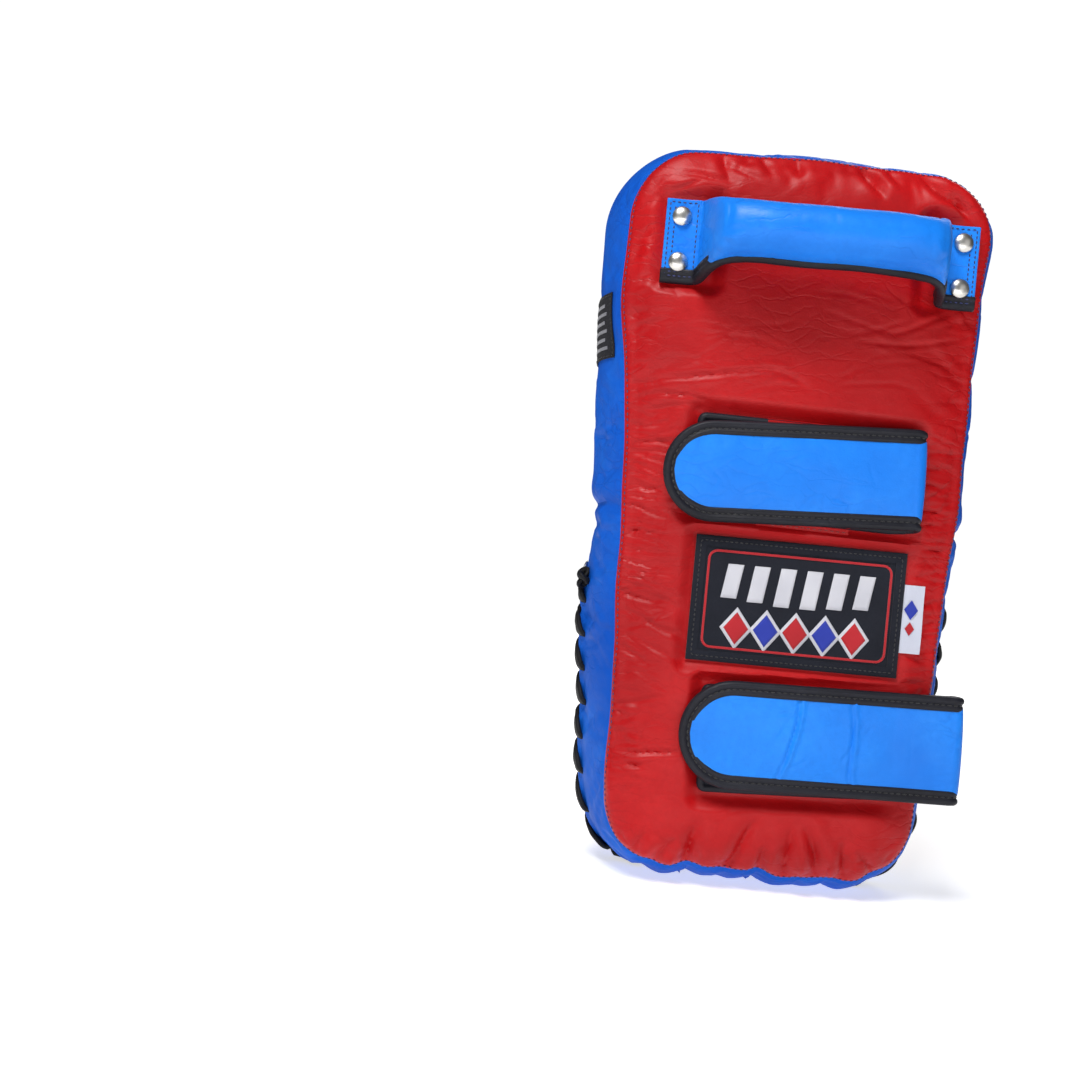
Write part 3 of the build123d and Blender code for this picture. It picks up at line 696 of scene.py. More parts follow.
def settled(body, short, long, rows):
    """Cloth run of the leather skin: cut a little too large, sewn tight at its seams, filled hard.

    Returns how far each point of the three grids moves.
    """
    faces, index, size = skin_faces(short, long, rows)
    rest = skin_points(body)
    piece = new_piece("skin_run", rest, faces, RED, body=None)
    seams = piece.vertex_groups.new(name="held")
    for vertex in np.unique(index[:, [0, -1]]):
        seams.add([int(vertex)], 1.0, "REPLACE")
    floor = [int(v) for v in np.nonzero(rest[:, 2] < 4.0)[0]]
    seams.add(floor, 1.0, "REPLACE")
    slack = piece.vertex_groups.new(name="slack")
    waist = np.exp(-((rest[:, 2] - MID_SEAM_Z) / 55.0)**2)
    rim = np.exp(-seam_distance(rest[:, [0, 2]], seam_loop(short, long)) / 20.0)
    excess = 0.15 + 0.45 * waist * rim + 0.30 * rim
    excess[2 * size:] = 0.22 + 0.25 * waist[2 * size:]
    for vertex, share in enumerate(np.clip(excess, 0, 1)):
        slack.add([vertex], float(share), "REPLACE")
    cloth = piece.modifiers.new("cloth", "CLOTH")
    for setting, value in CLOTH.items():
        setattr(cloth.settings, setting, value)
    cloth.settings.effector_weights.gravity = 0.0
    cloth.collision_settings.use_collision = False
    cloth.point_cache.frame_start, cloth.point_cache.frame_end = 1, CLOTH_FRAMES
    scene = bpy.context.scene
    for number in range(CLOTH_FRAMES):
        scene.frame_set(number + 1)
    shaped = piece.evaluated_get(bpy.context.evaluated_depsgraph_get()).to_mesh()
    found = np.array([v.co for v in shaped.vertices], float) / MM
    scene.frame_set(1)
    moved = found - rest
    length = np.linalg.norm(moved, axis=1, keepdims=True)
    moved *= PUFF_CAP * np.tanh(length / PUFF_CAP) / np.maximum(length, 1e-9)
    bpy.data.objects.remove(piece)
    wide = (short + 1, long + 1, 3)
    side = np.zeros((2 * (short + long), rows + 1, 3))
    side[:, 1:-1] = moved[2 * size:].reshape(len(side), rows - 1, 3)
    return {"back": moved[:size].reshape(wide), "front": moved[size:2 * size].reshape(wide), "side": side}


def upsample(values, factor, periodic=False):
    """Smooth in-between values along the first axis."""
    if periodic:
        padded = np.concatenate([values[-1:], values, values[:3]])
        at = np.arange(len(values) * factor) / factor
    else:
        padded = np.concatenate([2 * values[:1] - values[1:2], values, 2 * values[-1:] - values[-2:-1],
                                 2 * values[-1:] - values[-2:-1]])
        at = np.arange((len(values) - 1) * factor + 1) / factor
    i = at.astype(int)
    t = (at - i).reshape((-1,) + (1,) * (values.ndim - 1))
    a, b, c, d = padded[i], padded[i + 1], padded[i + 2], padded[i + 3]
    return b + 0.5 * t * (c - a + t * (2 * a - 5 * b + 4 * c - d + t * (3 * (b - c) + d - a)))


def upsample_grid(values, periodic=False):
    once = upsample(values, COARSE, periodic)
    return np.swapaxes(upsample(np.swapaxes(once, 0, 1), COARSE), 0, 1)


def grid_normals(grid, flip=False):
    """Unit normals of a grid of points."""
    normal = unit(np.cross(np.gradient(grid, axis=0), np.gradient(grid, axis=1)))
    return -normal if flip else normal


# ---- creases
def crease_line(start, angle, length, wander):
    """A slightly wandering line of points from start."""
    steps = max(int(length / 4), 3)
    heading = math.radians(angle) + np.cumsum(rng.normal(0, wander, steps))
    move = np.stack([np.cos(heading), np.sin(heading)], -1) * length / steps
    return np.vstack([[start], start + np.cumsum(move, 0)])


def creases(area, count, angle, length, depth, width, wander=0.18):
    """Random creases: area is (u low, u high, v low, v high), the rest are (low, high)."""
    found = []
    for _ in range(count):
        start = np.array([rng.uniform(*area[:2]), rng.uniform(*area[2:])])
        line = crease_line(start, rng.uniform(*angle), rng.uniform(*length), wander)
        found.append((line, rng.uniform(*depth), rng.uniform(*width)))
    return found


def carved(flat, lines):
    """Depth at each flat point of creases given as (points, depth, width): sharp valleys, soft shoulders."""
    depth = np.zeros(len(flat))
    for line, deep, width in lines:
        reach = 5 * width
        near = np.all((flat > line.min(0) - reach) & (flat < line.max(0) + reach), axis=1)
        spots = flat[near]
        if not len(spots):
            continue
        best = np.full(len(spots), 1e9)
        along = np.zeros(len(spots))
        for n, (a, b) in enumerate(zip(line[:-1], line[1:])):
            edge = b - a
            t = np.clip(((spots - a) @ edge) / (edge @ edge), 0, 1)
            away = np.linalg.norm(spots - a - t[:, None] * edge, axis=1)
            closer = away < best
            best[closer] = away[closer]
            along[closer] = ((n + t) / (len(line) - 1))[closer]
        fade = np.sin(math.pi * np.clip(along, 0.02, 0.98))**0.7
        shape = np.exp(-np.abs(best / width)**1.2) - 0.30 * np.exp(-((best - 2.4 * width) / (1.5 * width))**2)
        depth[near] += deep * fade * shape
    return depth


def puckers(along, count, spread, reach, deep, width):
    """Folds that run in from a seam: along is (x, z, inward angle) at the seam's middle."""
    x, z, inward = along
    side = math.radians(inward + 90)
    found = []
    for n in range(count):
        shift = (n - (count - 1) / 2) * spread + rng.normal(0, spread * 0.22)
        start = np.array([x + math.cos(side) * shift, z + math.sin(side) * shift])
        line = crease_line(start, inward + rng.normal(0, 11), rng.uniform(0.7, 1.3) * reach, 0.10)
        found.append((line, rng.uniform(0.7, 1.3) * deep, width * rng.uniform(0.8, 1.25)))
    return found


# folds that stand out: x, z, direction in degrees, length, depth, width
BACK_FOLDS = [(-84, 262, 18, 92, 1.3, 1.3), (-84, 256, 13, 44, 1.0, 1.0), (-83, 249, 8, 30, 0.7, 0.9),
              (-84, 228, -12, 36, 0.8, 1.0), (-84, 214, -20, 30, 0.9, 1.0), (-85, 201, -24, 26, 0.8, 0.9),
              (-84, 92, 22, 34, 0.9, 1.0), (-82, 69, 12, 44, 1.6, 1.2), (-82, 62, 2, 26, 0.9, 1.0),
              (-84, 146, -34, 58, 1.0, 1.5), (-83, 134, -30, 46, 1.0, 1.2), (-81, 118, -24, 36, 0.8, 1.1),
              (-86, 330, -28, 30, 1.1, 1.3), (-86, 318, -22, 22, 0.8, 1.0),
              (89, 322, 198, 50, 0.9, 1.1), (90, 304, 188, 64, 0.8, 1.0), (90, 288, 180, 36, 0.6, 0.9),
              (88, 232, 176, 24, 1.2, 1.1), (88, 221, 170, 20, 0.9, 1.0), (86, 150, 186, 22, 0.8, 1.0),
              (-72, 376, -8, 30, 1.2, 1.2), (-78, 366, 8, 20, 1.1, 1.1), (-50, 384, -30, 24, 0.9, 1.2),
              (20, 270, 12, 44, 0.4, 0.9), (-30, 262, 24, 36, 0.5, 0.9), (8, 246, -14, 30, 0.4, 0.9)]
BOTTOM_LOBES = [(-66, 14, 52, 20, 1.9, 2.2), (-52, 10, 66, 22, 2.2, 2.4), (-36, 9, 80, 28, 3.2, 3.0),
                (-12, 9, 96, 34, 3.4, 3.4), (4, 9, 84, 20, 1.8, 2.2), (18, 9, 88, 30, 3.0, 3.0),
                (36, 9, 106, 34, 3.4, 2.8), (50, 11, 114, 24, 2.8, 2.6), (65, 17, 130, 18, 1.9, 2.2)]
TOP_LOBES = [(22, 391, -56, 26, 2.8, 2.6), (38, 390, -70, 14, 1.2, 2.0), (55, 388, -38, 34, 3.4, 2.8),
             (72, 381, -58, 24, 2.2, 2.2), (-10, 392, -84, 14, 1.3, 2.2), (-30, 391, -60, 16, 1.2, 2.0),
             (-50, 390, -72, 18, 1.6, 2.2)]


# puckers along the seams: middle and inward angle, count, spacing, length, depth, width
BACK_PUCKERS = [((-88, 196, -4), 26, 3.6, 30, 0.75, 0.8), ((-86, 142, -16), 10, 5.5, 34, 0.60, 0.85),
                ((-84, 78, 10), 9, 6, 22, 0.6, 0.85), ((91, 190, 182), 26, 4.4, 26, 0.7, 0.8),
                ((88, 110, 190), 9, 7, 20, 0.55, 0.85), ((0, 11, 92), 12, 11, 12, 0.7, 1.1),
                ((62, 387, -70), 3, 9, 12, 0.6, 1.1), ((-90, 290, -4), 14, 7.5, 20, 0.35, 0.9),
                ((93, 300, 185), 12, 8, 22, 0.4, 0.9)]
FRONT_PUCKERS = [((-88, 205, -2), 26, 5.0, 36, 0.5, 0.9), ((91, 195, 182), 26, 5.0, 32, 0.5, 0.9),
                 ((-85, 90, 10), 9, 9, 22, 0.4, 1.0), ((88, 90, 172), 9, 9, 22, 0.4, 1.0),
                 ((-92, 320, -8), 12, 9, 28, 0.4, 1.0), ((94, 320, 188), 12, 9, 26, 0.4, 1.0),
                 ((0, 11, 90), 8, 18, 22, 1.3, 2.8), ((0, 387, -90), 8, 17, 15, 1.1, 2.4)]
# small creases strewn over an area: area, count, direction, length, depth, width, wander
BACK_CREASES = [((30, 88, 285, 318), 9, (160, 205), (15, 45), (0.18, 0.4), (0.8, 1.1), 0.12),
                ((-75, -20, 262, 300), 8, (-5, 30), (15, 45), (0.18, 0.4), (0.8, 1.2), 0.12),
                ((-70, 60, 20, 55), 16, (-30, 60), (8, 26), (0.15, 0.35), (0.8, 1.2))]
FRONT_CREASES = [((-70, 30, 165, 240), 24, (-12, 12), (25, 75), (0.16, 0.36), (0.8, 1.1), 0.10),
                 ((-60, 40, 290, 340), 10, (-25, 5), (25, 60), (0.14, 0.3), (0.8, 1.1), 0.12)]


def chosen(rows, deeper):
    """Creases at listed places."""
    return [(crease_line(np.array([x, z], float), angle, length, 0.09), deeper * depth, width)
            for x, z, angle, length, depth, width in rows]


def folded(placed_rows, pucker_rows, crease_rows):
    """All creases of a panel: at listed places, run in from the seams, and strewn over an area."""
    lines = [line for rows, deeper in placed_rows for line in chosen(rows, deeper)]
    lines += [line for row in pucker_rows for line in puckers(*row)]
    lines += [line for row in crease_rows for line in creases(*row)]
    return lines


# soft cushions of stuffing between the creases: x, z, half width, half height, rise
CUSHIONS = [(-60, 24, 7, 11, 1.4), (-45, 26, 8, 13, 2.0), (-24, 27, 10, 14, 2.6), (-4, 24, 7, 11, 1.6),
            (11, 25, 7, 12, 1.8), (28, 26, 8, 13, 2.6), (44, 24, 6, 12, 2.2), (59, 30, 8, 12, 2.0),
            (-82, 170, 9, 9, 1.0), (-80, 106, 11, 10, 1.2), (-78, 52, 12, 10, 1.6), (-78, 84, 10, 8, 1.0),
            (38, 377, 9, 7, 1.8), (66, 366, 9, 9, 2.2), (2, 381, 14, 6, 1.2), (-30, 381, 10, 6, 1.0),
            (-70, 360, 10, 9, 1.4), (84, 250, 7, 14, 1.2), (82, 206, 6, 10, 1.0), (-76, 276, 12, 10, 1.2),
            (70, 200, 30, 60, 0.8), (-40, 300, 40, 30, 0.8)]


def cushioned(flat):
    """How far the cushions stand out at each flat point."""
    rise = np.zeros(flat.shape[:-1])
    for x, z, wide, tall, high in CUSHIONS:
        rise += 1.3 * high * np.exp(-(((flat[..., 0] - x) / wide)**2 + ((flat[..., 1] - z) / tall)**2) / 1.6)
    return rise


def dressed_body():
    """The whole skin at full detail: body shape, cloth run, creases and seam grooves."""
    body = stuffed_body(SHORT, LONG, ROWS)
    small = (SHORT // COARSE, LONG // COARSE, ROWS // COARSE)
    moved = settled(stuffed_body(*small), *small)
    body["back"] += upsample_grid(moved["back"])
    body["front"] += FRONT_PUFF * upsample_grid(moved["front"])
    body["side"] += upsample_grid(moved["side"], periodic=True)
    loop = seam_loop(SHORT, LONG)
    placed_rows = ((BACK_FOLDS, 1.0), (BOTTOM_LOBES, 1.2), (TOP_LOBES, 1.35))
    panels = (("back", folded(placed_rows, BACK_PUCKERS, BACK_CREASES)),
              ("front", folded((), FRONT_PUCKERS, FRONT_CREASES)))
    for key, lines in panels:
        grid = body[key]
        flat = grid[..., [0, 2]]
        edge = seam_distance(flat, grid_rim(flat))
        deep = carved(flat.reshape(-1, 2), lines).reshape(edge.shape)
        if key == "back":
            deep -= cushioned(flat)
        deep *= np.clip(edge / 3.0, 0, 1)
        grid -= grid_normals(grid, flip=key == "front") * deep[..., None]
        if key == "back":
            press_under_fittings(grid, edge)
    return body, loop


def footprint(flat, centre, half, angle):
    """How far points lie outside a turned rectangle."""
    turn = np.array([[math.cos(angle), math.sin(angle)], [-math.sin(angle), math.cos(angle)]])
    return np.linalg.norm(np.maximum(np.abs((flat - centre) @ turn.T) - half, 0), axis=-1)


def press_under_fittings(grid, edge):
    """Straps, patch and tabs are sewn down tight, so the leather under them is held flat."""
    flat = grid[..., [0, 2]]
    smooth = BACK_SEAM_Y - panel_rise(edge)
    away = np.full(edge.shape, 1e9)
    for node in HELD_FLAT:
        low, high = box_mm(node)
        centre, half = (low + high)[[0, 2]] / 2, (high - low)[[0, 2]] / 2
        angle = math.radians(BASE_TILT.get(node.split("_")[0], 0.0))
        away = np.minimum(away, footprint(flat, centre, half, angle))
    proud = np.minimum(grid[..., 1] - (smooth + PRESS_SINK), 0)
    grid[..., 1] -= proud * eased(np.clip(1 - away / PRESS_MARGIN, 0, 1))


def wall_details(side, loop):
    """Grooves at both seams, the cross seams and wrinkles of the side wall."""
    reach = arc_length(loop)
    outward = loop_outward(loop)
    depth = side[..., 1]
    from_seam = np.minimum(depth - BACK_SEAM_Y, FRONT_SEAM_Y - depth)
    drop = 1.0 * np.exp(-(from_seam / SEAM_GROOVE_WIDTH)**2)
    height = loop[:, 1][:, None]
    on_side = (np.abs(outward[:, 0]) > 0.9)[:, None]
    drop += on_side * (2.4 * np.exp(-((height - MID_SEAM_Z) / 3.2)**2) * np.clip(from_seam / 5, 0, 1))
    drop -= on_side * (1.0 * np.exp(-((height - MID_SEAM_Z - 9) / 6)**2) * np.clip(from_seam / 9, 0, 1))
    lines = []
    for n, (here, z) in enumerate(zip(reach, loop[:, 1])):
        on_wall = abs(outward[n, 0]) > 0.9
        close = abs(z - MID_SEAM_Z) < 50 or z < 130
        if on_wall and n % 7 == 0 and (close or n % 21 == 0):
            start_y = rng.choice([BACK_SEAM_Y + 3, FRONT_SEAM_Y - 3, MID_Y]) + rng.normal(0, 4)
            angle = rng.choice([90, 270]) + rng.normal(0, 22)
            line = crease_line(np.array([here, start_y]), angle, rng.uniform(12, 30), 0.14)
            lines.append((line, rng.uniform(0.25, 0.6), rng.uniform(0.9, 1.5)))
    flat = np.stack([np.broadcast_to(reach[:, None], depth.shape), depth], -1)
    drop = drop + carved(flat.reshape(-1, 2), lines).reshape(depth.shape) * np.clip(from_seam / 4, 0, 1)
    side -= upright(outward, 0.0)[:, None] * drop[..., None]


def laced_columns(loop):
    """Columns of the wall that the slit runs through, in order down the laced side and round."""
    low = np.nonzero(loop[:, 1] < SLIT_TOP_Z)[0]
    left = [n for n in low if n > len(loop) // 2]
    right = [n for n in low if n <= len(loop) // 2]
    return left + right


def slit_gape(loop, columns):
    """Half width of the slit at each of its columns: closed at the ends, drawn in at each crossing."""
    reach = arc_length(loop[columns])
    ends = np.clip(np.minimum(reach, reach[-1] - reach) / 12, 0, 1)
    beat = 0.5 - 0.5 * np.cos(2 * math.pi * reach / LACE_PITCH)
    return ends * (0.7 + (SLIT_GAPE - 0.7) * beat)


def calm_under_label(side):
    """Evens out the wall's wrinkles where the label is sewn down."""
    low, high = box_mm("side_label")
    x, y, z = side[..., 0], side[..., 1], side[..., 2]
    inside = (x < 0) & (z > low[2] - 7) & (z < high[2] + 7) & (y > low[1] - 6) & (y < high[1] + 6)
    inside[:, [0, -1]] = False
    rows, columns = np.nonzero(inside)
    for _ in range(CALM_ROUNDS):
        side[rows, columns] = (side[rows - 1, columns] + side[rows + 1, columns] + side[rows, columns - 1]
                               + side[rows, columns + 1]) / 4


def build_skin():
    """Both panels and the three strips of the wall.  Returns the body's grids, its outline and the slit."""
    body, loop = dressed_body()
    side = body["side"]
    wall_details(side, loop)
    calm_under_label(side)
    side[..., 2] = np.maximum(side[..., 2], FLOOR_Z)
    columns = laced_columns(loop)
    middle = ROWS // 2
    outward = upright(loop_outward(loop), 0.0)

    for key, flip in (("back", False), ("front", True)):
        node = key + "_panel"
        shell(node + "_leather", body[key], LEATHER, RED, [node], flip)
    upper = np.nonzero(loop[:, 1] >= MID_SEAM_Z)[0]
    upper = np.arange(upper.min() - 1, upper.max() + 1)
    shell("gusset_upper_leather", side[upper], LEATHER, BLUE_WALL_SHADED, ["gusset_upper"], flip=True)
    around = len(loop)
    lower = np.arange(upper.max(), upper.min() + around + 1) % around
    opened = np.zeros(around)
    opened[columns] = slit_gape(loop, columns)
    for key, rows, sign in (("back", np.arange(middle + 1), -1), ("front", np.arange(middle, ROWS + 1), 1)):
        part = side[lower][:, rows].copy()
        share = np.abs(part[..., 1] - MID_Y)
        pull = np.exp(-(share / 5.0)**2) * opened[lower][:, None]
        part[..., 1] += sign * pull
        laced = (opened[lower] > 0) * np.clip((loop[lower, 1] - LIP_FLAT_Z) / 12.0, 0, 1)
        ridge = LIP_RISE * laced[:, None] * np.exp(-(share / LIP_WIDTH)**2)
        seam = np.where(opened[lower] > 0, 0.0, 1.5)[:, None] * np.exp(-(share / 2.4)**2)
        part += outward[lower][:, None] * (ridge - seam)[..., None]
        part[..., 2] = np.maximum(part[..., 2], FLOOR_Z)
        node = "gusset_lower_" + key
        shell(node + "_leather", part, LEATHER, BLUE_WALL_SHADED, [node], flip=True)
    return body, loop, columns


body, loop, columns = build_skin()
side = body["side"]


def foam_stand_in():
    """The foam block, only seen through the slit, a little inside the leather."""
    small = (SHORT // COARSE, LONG // COARSE, ROWS // COARSE)
    faces = skin_faces(*small)[0]
    points = skin_points(stuffed_body(*small))
    centre = np.array([0, MID_Y, 200.0])
    share = 1 - 9.0 / np.array([100.0, 50.0, 200.0])
    piece = new_piece("foam_filling", centre + (points - centre) * share, faces, FOAM,
                      ["core_foam", "strike_foam", "back_foam"])


foam_stand_in()

# ---- the back surface, for what lies on it
smooth_loop = seam_loop(SHORT // 2, LONG // 2)
smooth_loop += loop_outward(smooth_loop) * seam_shift(smooth_loop, loop_outward(smooth_loop))[:, None]


def smooth_back(x, z):
    """The back panel without its wrinkles."""
    return BACK_SEAM_Y - panel_rise(seam_distance(np.stack([x, z], -1), smooth_loop))


back_tree = BVHTree.FromPolygons(body["back"].reshape(-1, 3).tolist(),
                                 grid_faces(SHORT + 1, LONG + 1).tolist())


def true_back(x, z):
    """The wrinkled back panel's surface."""
    found = np.empty(x.shape)
    for spot in np.ndindex(x.shape):
        hit = back_tree.ray_cast(Vector((x[spot], BACK_FACE_Y - 60, z[spot])), Vector((0, 1, 0)))[0]
        found[spot] = hit.y if hit else BACK_SEAM_Y
    return found


# ---- seam stitches
def seam_stitches():
    """Blue thread along both seams, just inside the red leather's edge."""
    for name, y_out in (("back", -1), ("front", 1)):
        grid = body[name]
        ring = np.vstack([grid[1:-1, 1], grid[-2, 1:-1], grid[-2:0:-1, -2], grid[1, -2:0:-1]])
        outward = loop_outward(ring[:, [0, 2]])
        lean = upright(outward, 0.8 * y_out)
        path = np.vstack([ring, ring[:1]])
        up = unit(np.vstack([lean, lean[:1]]))
        stitches("seam_thread_" + name, path, up, (3.0, 1.7, 0.30), NAVY_THREAD, lift=0.12)


seam_stitches()


# ---- lacing
slit_reach = arc_length(loop[columns])
wall_outward = loop_outward(loop)


def wall_spot(distance, y):
    """Point and outward direction on the laced wall, `distance` along the slit, at depth y."""
    column = np.interp(distance, slit_reach, np.arange(len(columns)))
    n = int(min(column, len(columns) - 2))
    rows = [read_at(y, side[c, :, 1], side[c][:, [0, 2]]) for c in columns[n:n + 2]]
    flat = rows[0] + (rows[1] - rows[0]) * (column - n)
    return upright(flat, y), upright(wall_outward[columns[n]], 0.0)


def flat_section(width, thick):
    """The section of a flat leather strip with rounded edges."""
    cos, sin = np.cos(turns(14)), np.sin(turns(14))
    return np.stack([width / 2 * powered(cos, 0.5), thick / 2 * powered(sin, 0.8)], -1)


def lacing():
    """One flat lace in a spiral over the slit: slanting outside, through a hole, straight back inside."""
    total = slit_reach[-1]
    count = int(total // LACE_PITCH)
    spare = (total - count * LACE_PITCH) / 2
    path, up, widths = [], [], []
    # start and share of a turn, side it starts from, lift, steps
    legs = ((0.0, 0.88, 1, LACE_LIFT, 20), (0.88, 0.12, -1, -6.0, 8))
    for turn in range(count):
        for start, share, from_side, lift, steps in legs:
            for t in np.arange(steps) / steps:
                distance = spare + (turn + start + share * t) * LACE_PITCH
                y = MID_Y + from_side * LACE_REACH * (1 - 2 * (0.3 * t + 0.7 * eased(t)))
                spot, outward = wall_spot(min(max(distance, 0.1), total - 0.1), y)
                arch = math.sin(math.pi * t)**0.28
                point = spot + outward * (arch * lift - (1 - arch) * 1.4)
                point[2] = max(point[2], LACE_FLOOR if lift > 0 else 5.0)
                path.append(point)
                up.append(outward)
                widths.append(0.55 + 0.6 * math.sin(math.pi * t**1.4)**0.7 if lift > 0 else 0.5)
    path, up = np.array(path), np.array(up)
    across = unit(np.cross(tangents(path), up))
    sweep("side_lace", path, across, unit(np.cross(across, tangents(path))),
          flat_section(LACE_WIDTH, LACE_THICK), LACE, ["gusset_lace"], widths=widths)


lacing()


def torus(radius, thick, flat, count=40, ring=12):
    """Points and faces of a flattened ring about Z."""
    a, b = turns(count)[:, None], turns(ring)[None]
    r = radius + thick * np.cos(b)
    points = np.stack([r * np.cos(a), r * np.sin(a), flat * np.sin(b) + 0 * a], -1).reshape(-1, 3)
    return points, tube_faces(count, ring, True)


def placed(points, spot, normal):
    """Turns points drawn about Z so that Z follows a normal, and moves them to a spot."""
    turn = np.array(Vector((0, 0, 1)).rotation_difference(Vector(normal)).to_matrix())
    return points @ turn.T + spot


def eyelet_and_knot():
    """The nickel ring at the slit's top, and the lace's end in a trefoil knot beside it."""
    low, high = box_mm("lace_eyelet")
    spot, outward = wall_spot(4.0, (low[1] + high[1]) / 2)
    lean = unit(outward + np.array([0, 0.35, 0]))
    points, faces = torus(6.0, 2.2, 1.2)
    outward_faces(new_piece("lace_eyelet_ring", placed(points, spot + outward * 0.6, lean), faces, NICKEL,
                            ["lace_eyelet"]))
    low, high = box_mm("lace_knot")
    spot, outward = wall_spot(5.0, (low[1] + high[1]) / 2 + 2)
    t = turns(90)
    trefoil = np.stack([1.8 * (np.sin(t) + 1.6 * np.sin(2 * t)), 1.8 * (np.cos(t) - 1.6 * np.cos(2 * t)),
                        -2.4 * np.sin(3 * t)], -1)
    path = placed(trefoil, spot + outward * 2.6, outward)
    along = tangents(path, closed=True)
    across = unit(np.cross(along, outward))
    section = np.stack([2.1 * np.cos(turns(10)), 1.4 * np.sin(turns(10))], -1)
    sweep("lace_end_knot", path, across, np.cross(across, along), section, LACE, ["lace_knot"], closed=True)


eyelet_and_knot()


# ---- woven label on the wall
def wall_patch(z_low, z_high, y_low, y_high, lift, across, along):
    """A grid of points on the laced wall, `lift` above it."""
    left = np.arange(len(loop) // 2 + SHORT // 2 + 1, len(loop))
    heights = side[left, ROWS // 2, 2]
    order = np.argsort(heights)
    left, heights = left[order], heights[order]
    z = np.linspace(z_low, z_high, across)
    y = np.linspace(y_low, y_high, along)
    points = np.empty((across, along, 3))
    for i, zi in enumerate(z):
        column = np.interp(zi, heights, np.arange(len(left)))
        n = int(min(column, len(left) - 2))
        t = column - n
        for j, yj in enumerate(y):
            x = [np.interp(yj, side[left[m], :, 1], side[left[m], :, 0]) for m in (n, n + 1)]
            points[i, j] = (x[0] * (1 - t) + x[1] * t, yj, zi)
    points[..., 0] -= lift
    return points


def side_label():
    """The woven label with grey bars in place of its text."""
    low, high = (corner - np.array([0, LABEL_SHIFT, 0]) for corner in box_mm("side_label"))
    grid = wall_patch(low[2], high[2], low[1], high[1], 0.9, 24, 40)
    grid[..., 0] = np.minimum(grid[..., 0], smoothed(grid.copy(), 60)[..., 0])
    grid = smoothed(grid, 3)
    shell("side_label_woven", grid, 0.5, LABEL, ["side_label"])
    tree = BVHTree.FromPolygons(grid.reshape(-1, 3).tolist(), grid_faces(24, 40).tolist())

    def on_label(y, z, lift):
        hit = tree.ray_cast(Vector((-200.0, y, z)), Vector((1, 0, 0)))[0]
        return np.array([(hit.x if hit else grid[..., 0].mean()) - lift, y, z])

    bars = []
    for n in range(6):
        z0, inset = low[2] + 5.0 + n * 4.6, 7.0 + 3.0 * (n % 2)
        rows = [[on_label(y, z, 0.2) for y in np.linspace(low[1] + inset, high[1] - inset, 24)]
                for z in (z0, z0 + 0.9, z0 + 1.8)]
        bars.append(shell(f"bar_{n}", np.array(rows), 0.25, LABEL_GREY, body=None))
    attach(join("side_label_bars", bars), "pad")
    corners = rectangle(low[1:], high[1:], 1.3)
    ring = np.array([on_label(y, z, 0.1) for y, z in resample(np.array(corners + corners[:1]), 120)])
    stitches("side_label_thread", ring, np.tile([-1.0, 0, 0], (len(ring), 1)), (2.6, 1.7, 0.25),
             BLACK_THREAD)


side_label()


# ---- name patch and tag
def on_back(points, lift):
    """(x, z) points as places on the back panel, `lift` proud of it and never under a wrinkle."""
    x, z = points[..., 0], points[..., 1]
    return upright(points, np.minimum(smooth_back(x, z), true_back(x, z)) - lift)


def ribbon_loop(name, corners, radius, width, lift, thick, material):
    """A flat band round a rounded rectangle on the back panel."""
    dense, _ = rounded(np.array(corners, float), [radius] * len(corners))
    line = resample(dense, 220, closed=True)
    path = on_back(line, lift)
    up = to_back(len(path))
    across = unit(np.cross(tangents(path, closed=True), up))
    half, deep = width / 2, thick / 2
    section = [(-half, -deep), (half, -deep), (half, deep * 0.4), (half * 0.6, deep), (-half * 0.6, deep),
               (-half, deep * 0.4)]
    sweep(name, path, across, up, section, material, closed=True)


def flat_shape(name, outline, lift, thick, material):
    """A raised embroidered shape on the back panel, from its (x, z) outline."""
    outline = np.asarray(outline, float)
    centre = outline.mean(0)
    rings = [1.0, 0.985, 0.7, 0.4, 0.0]
    heights = [0.0, thick, thick * 1.1, thick * 1.15, thick * 1.15]
    dense = resample(outline, 96, closed=True)
    points = [on_back(centre + (dense - centre) * r, lift + h) for r, h in zip(rings, heights)]
    new_piece(name, np.vstack(points), tube_faces(len(rings), len(dense))[:, REVERSED], material)


def diamond(x, z, half, tall):
    return [(x, z - tall), (x + half, z), (x, z + tall), (x - half, z)]


def name_patch():
    """The black woven patch: cloth, four folded hems, thread, a red border line and a plain motif."""
    low, high = box_mm("name_patch")
    (left, _, foot), (right, _, top) = low, high
    grid = np.stack(spread(low[::2], high[::2], 90, 54), -1)
    shell("name_patch_cloth", smoothed(on_back(grid, PATCH_THICK), 6), 1.0, PATCH, ["name_patch"])
    hem = 5.6
    hems = (((left, top - hem), (right, top), 60, 8), ((left, foot), (right, foot + hem), 60, 8),
            ((left, foot), (left + hem, top), 8, 40), ((right - hem, foot), (right, top), 8, 40))
    for n, row in enumerate(hems):
        x, z = spread(*row)
        grid = on_back(np.stack([x, z], -1), PATCH_THICK + 0.75)
        edge = np.minimum.reduce([x - left, right - x, z - foot, top - z])
        grid[..., 1] += 0.55 * np.clip(1 - edge / 1.2, 0, 1)**2
        shell(f"patch_hem_{n}", grid, 0.6, PATCH)
    line = rounded(np.array(rectangle(low, high, 2.6)), [1.5] * 4)[0]
    ring = resample(line, 260, closed=True)
    path = on_back(ring, PATCH_THICK + 0.8)
    stitches("patch_thread", np.vstack([path, path[:1]]), to_back(len(path) + 1), (2.6, 1.7, 0.27),
             BLACK_THREAD)
    ribbon_loop("patch_border", rectangle(low, high, 7.6), 4.5, 1.3, PATCH_THICK + 0.25, 0.5, PATCH_RED)
    motif(low, high)


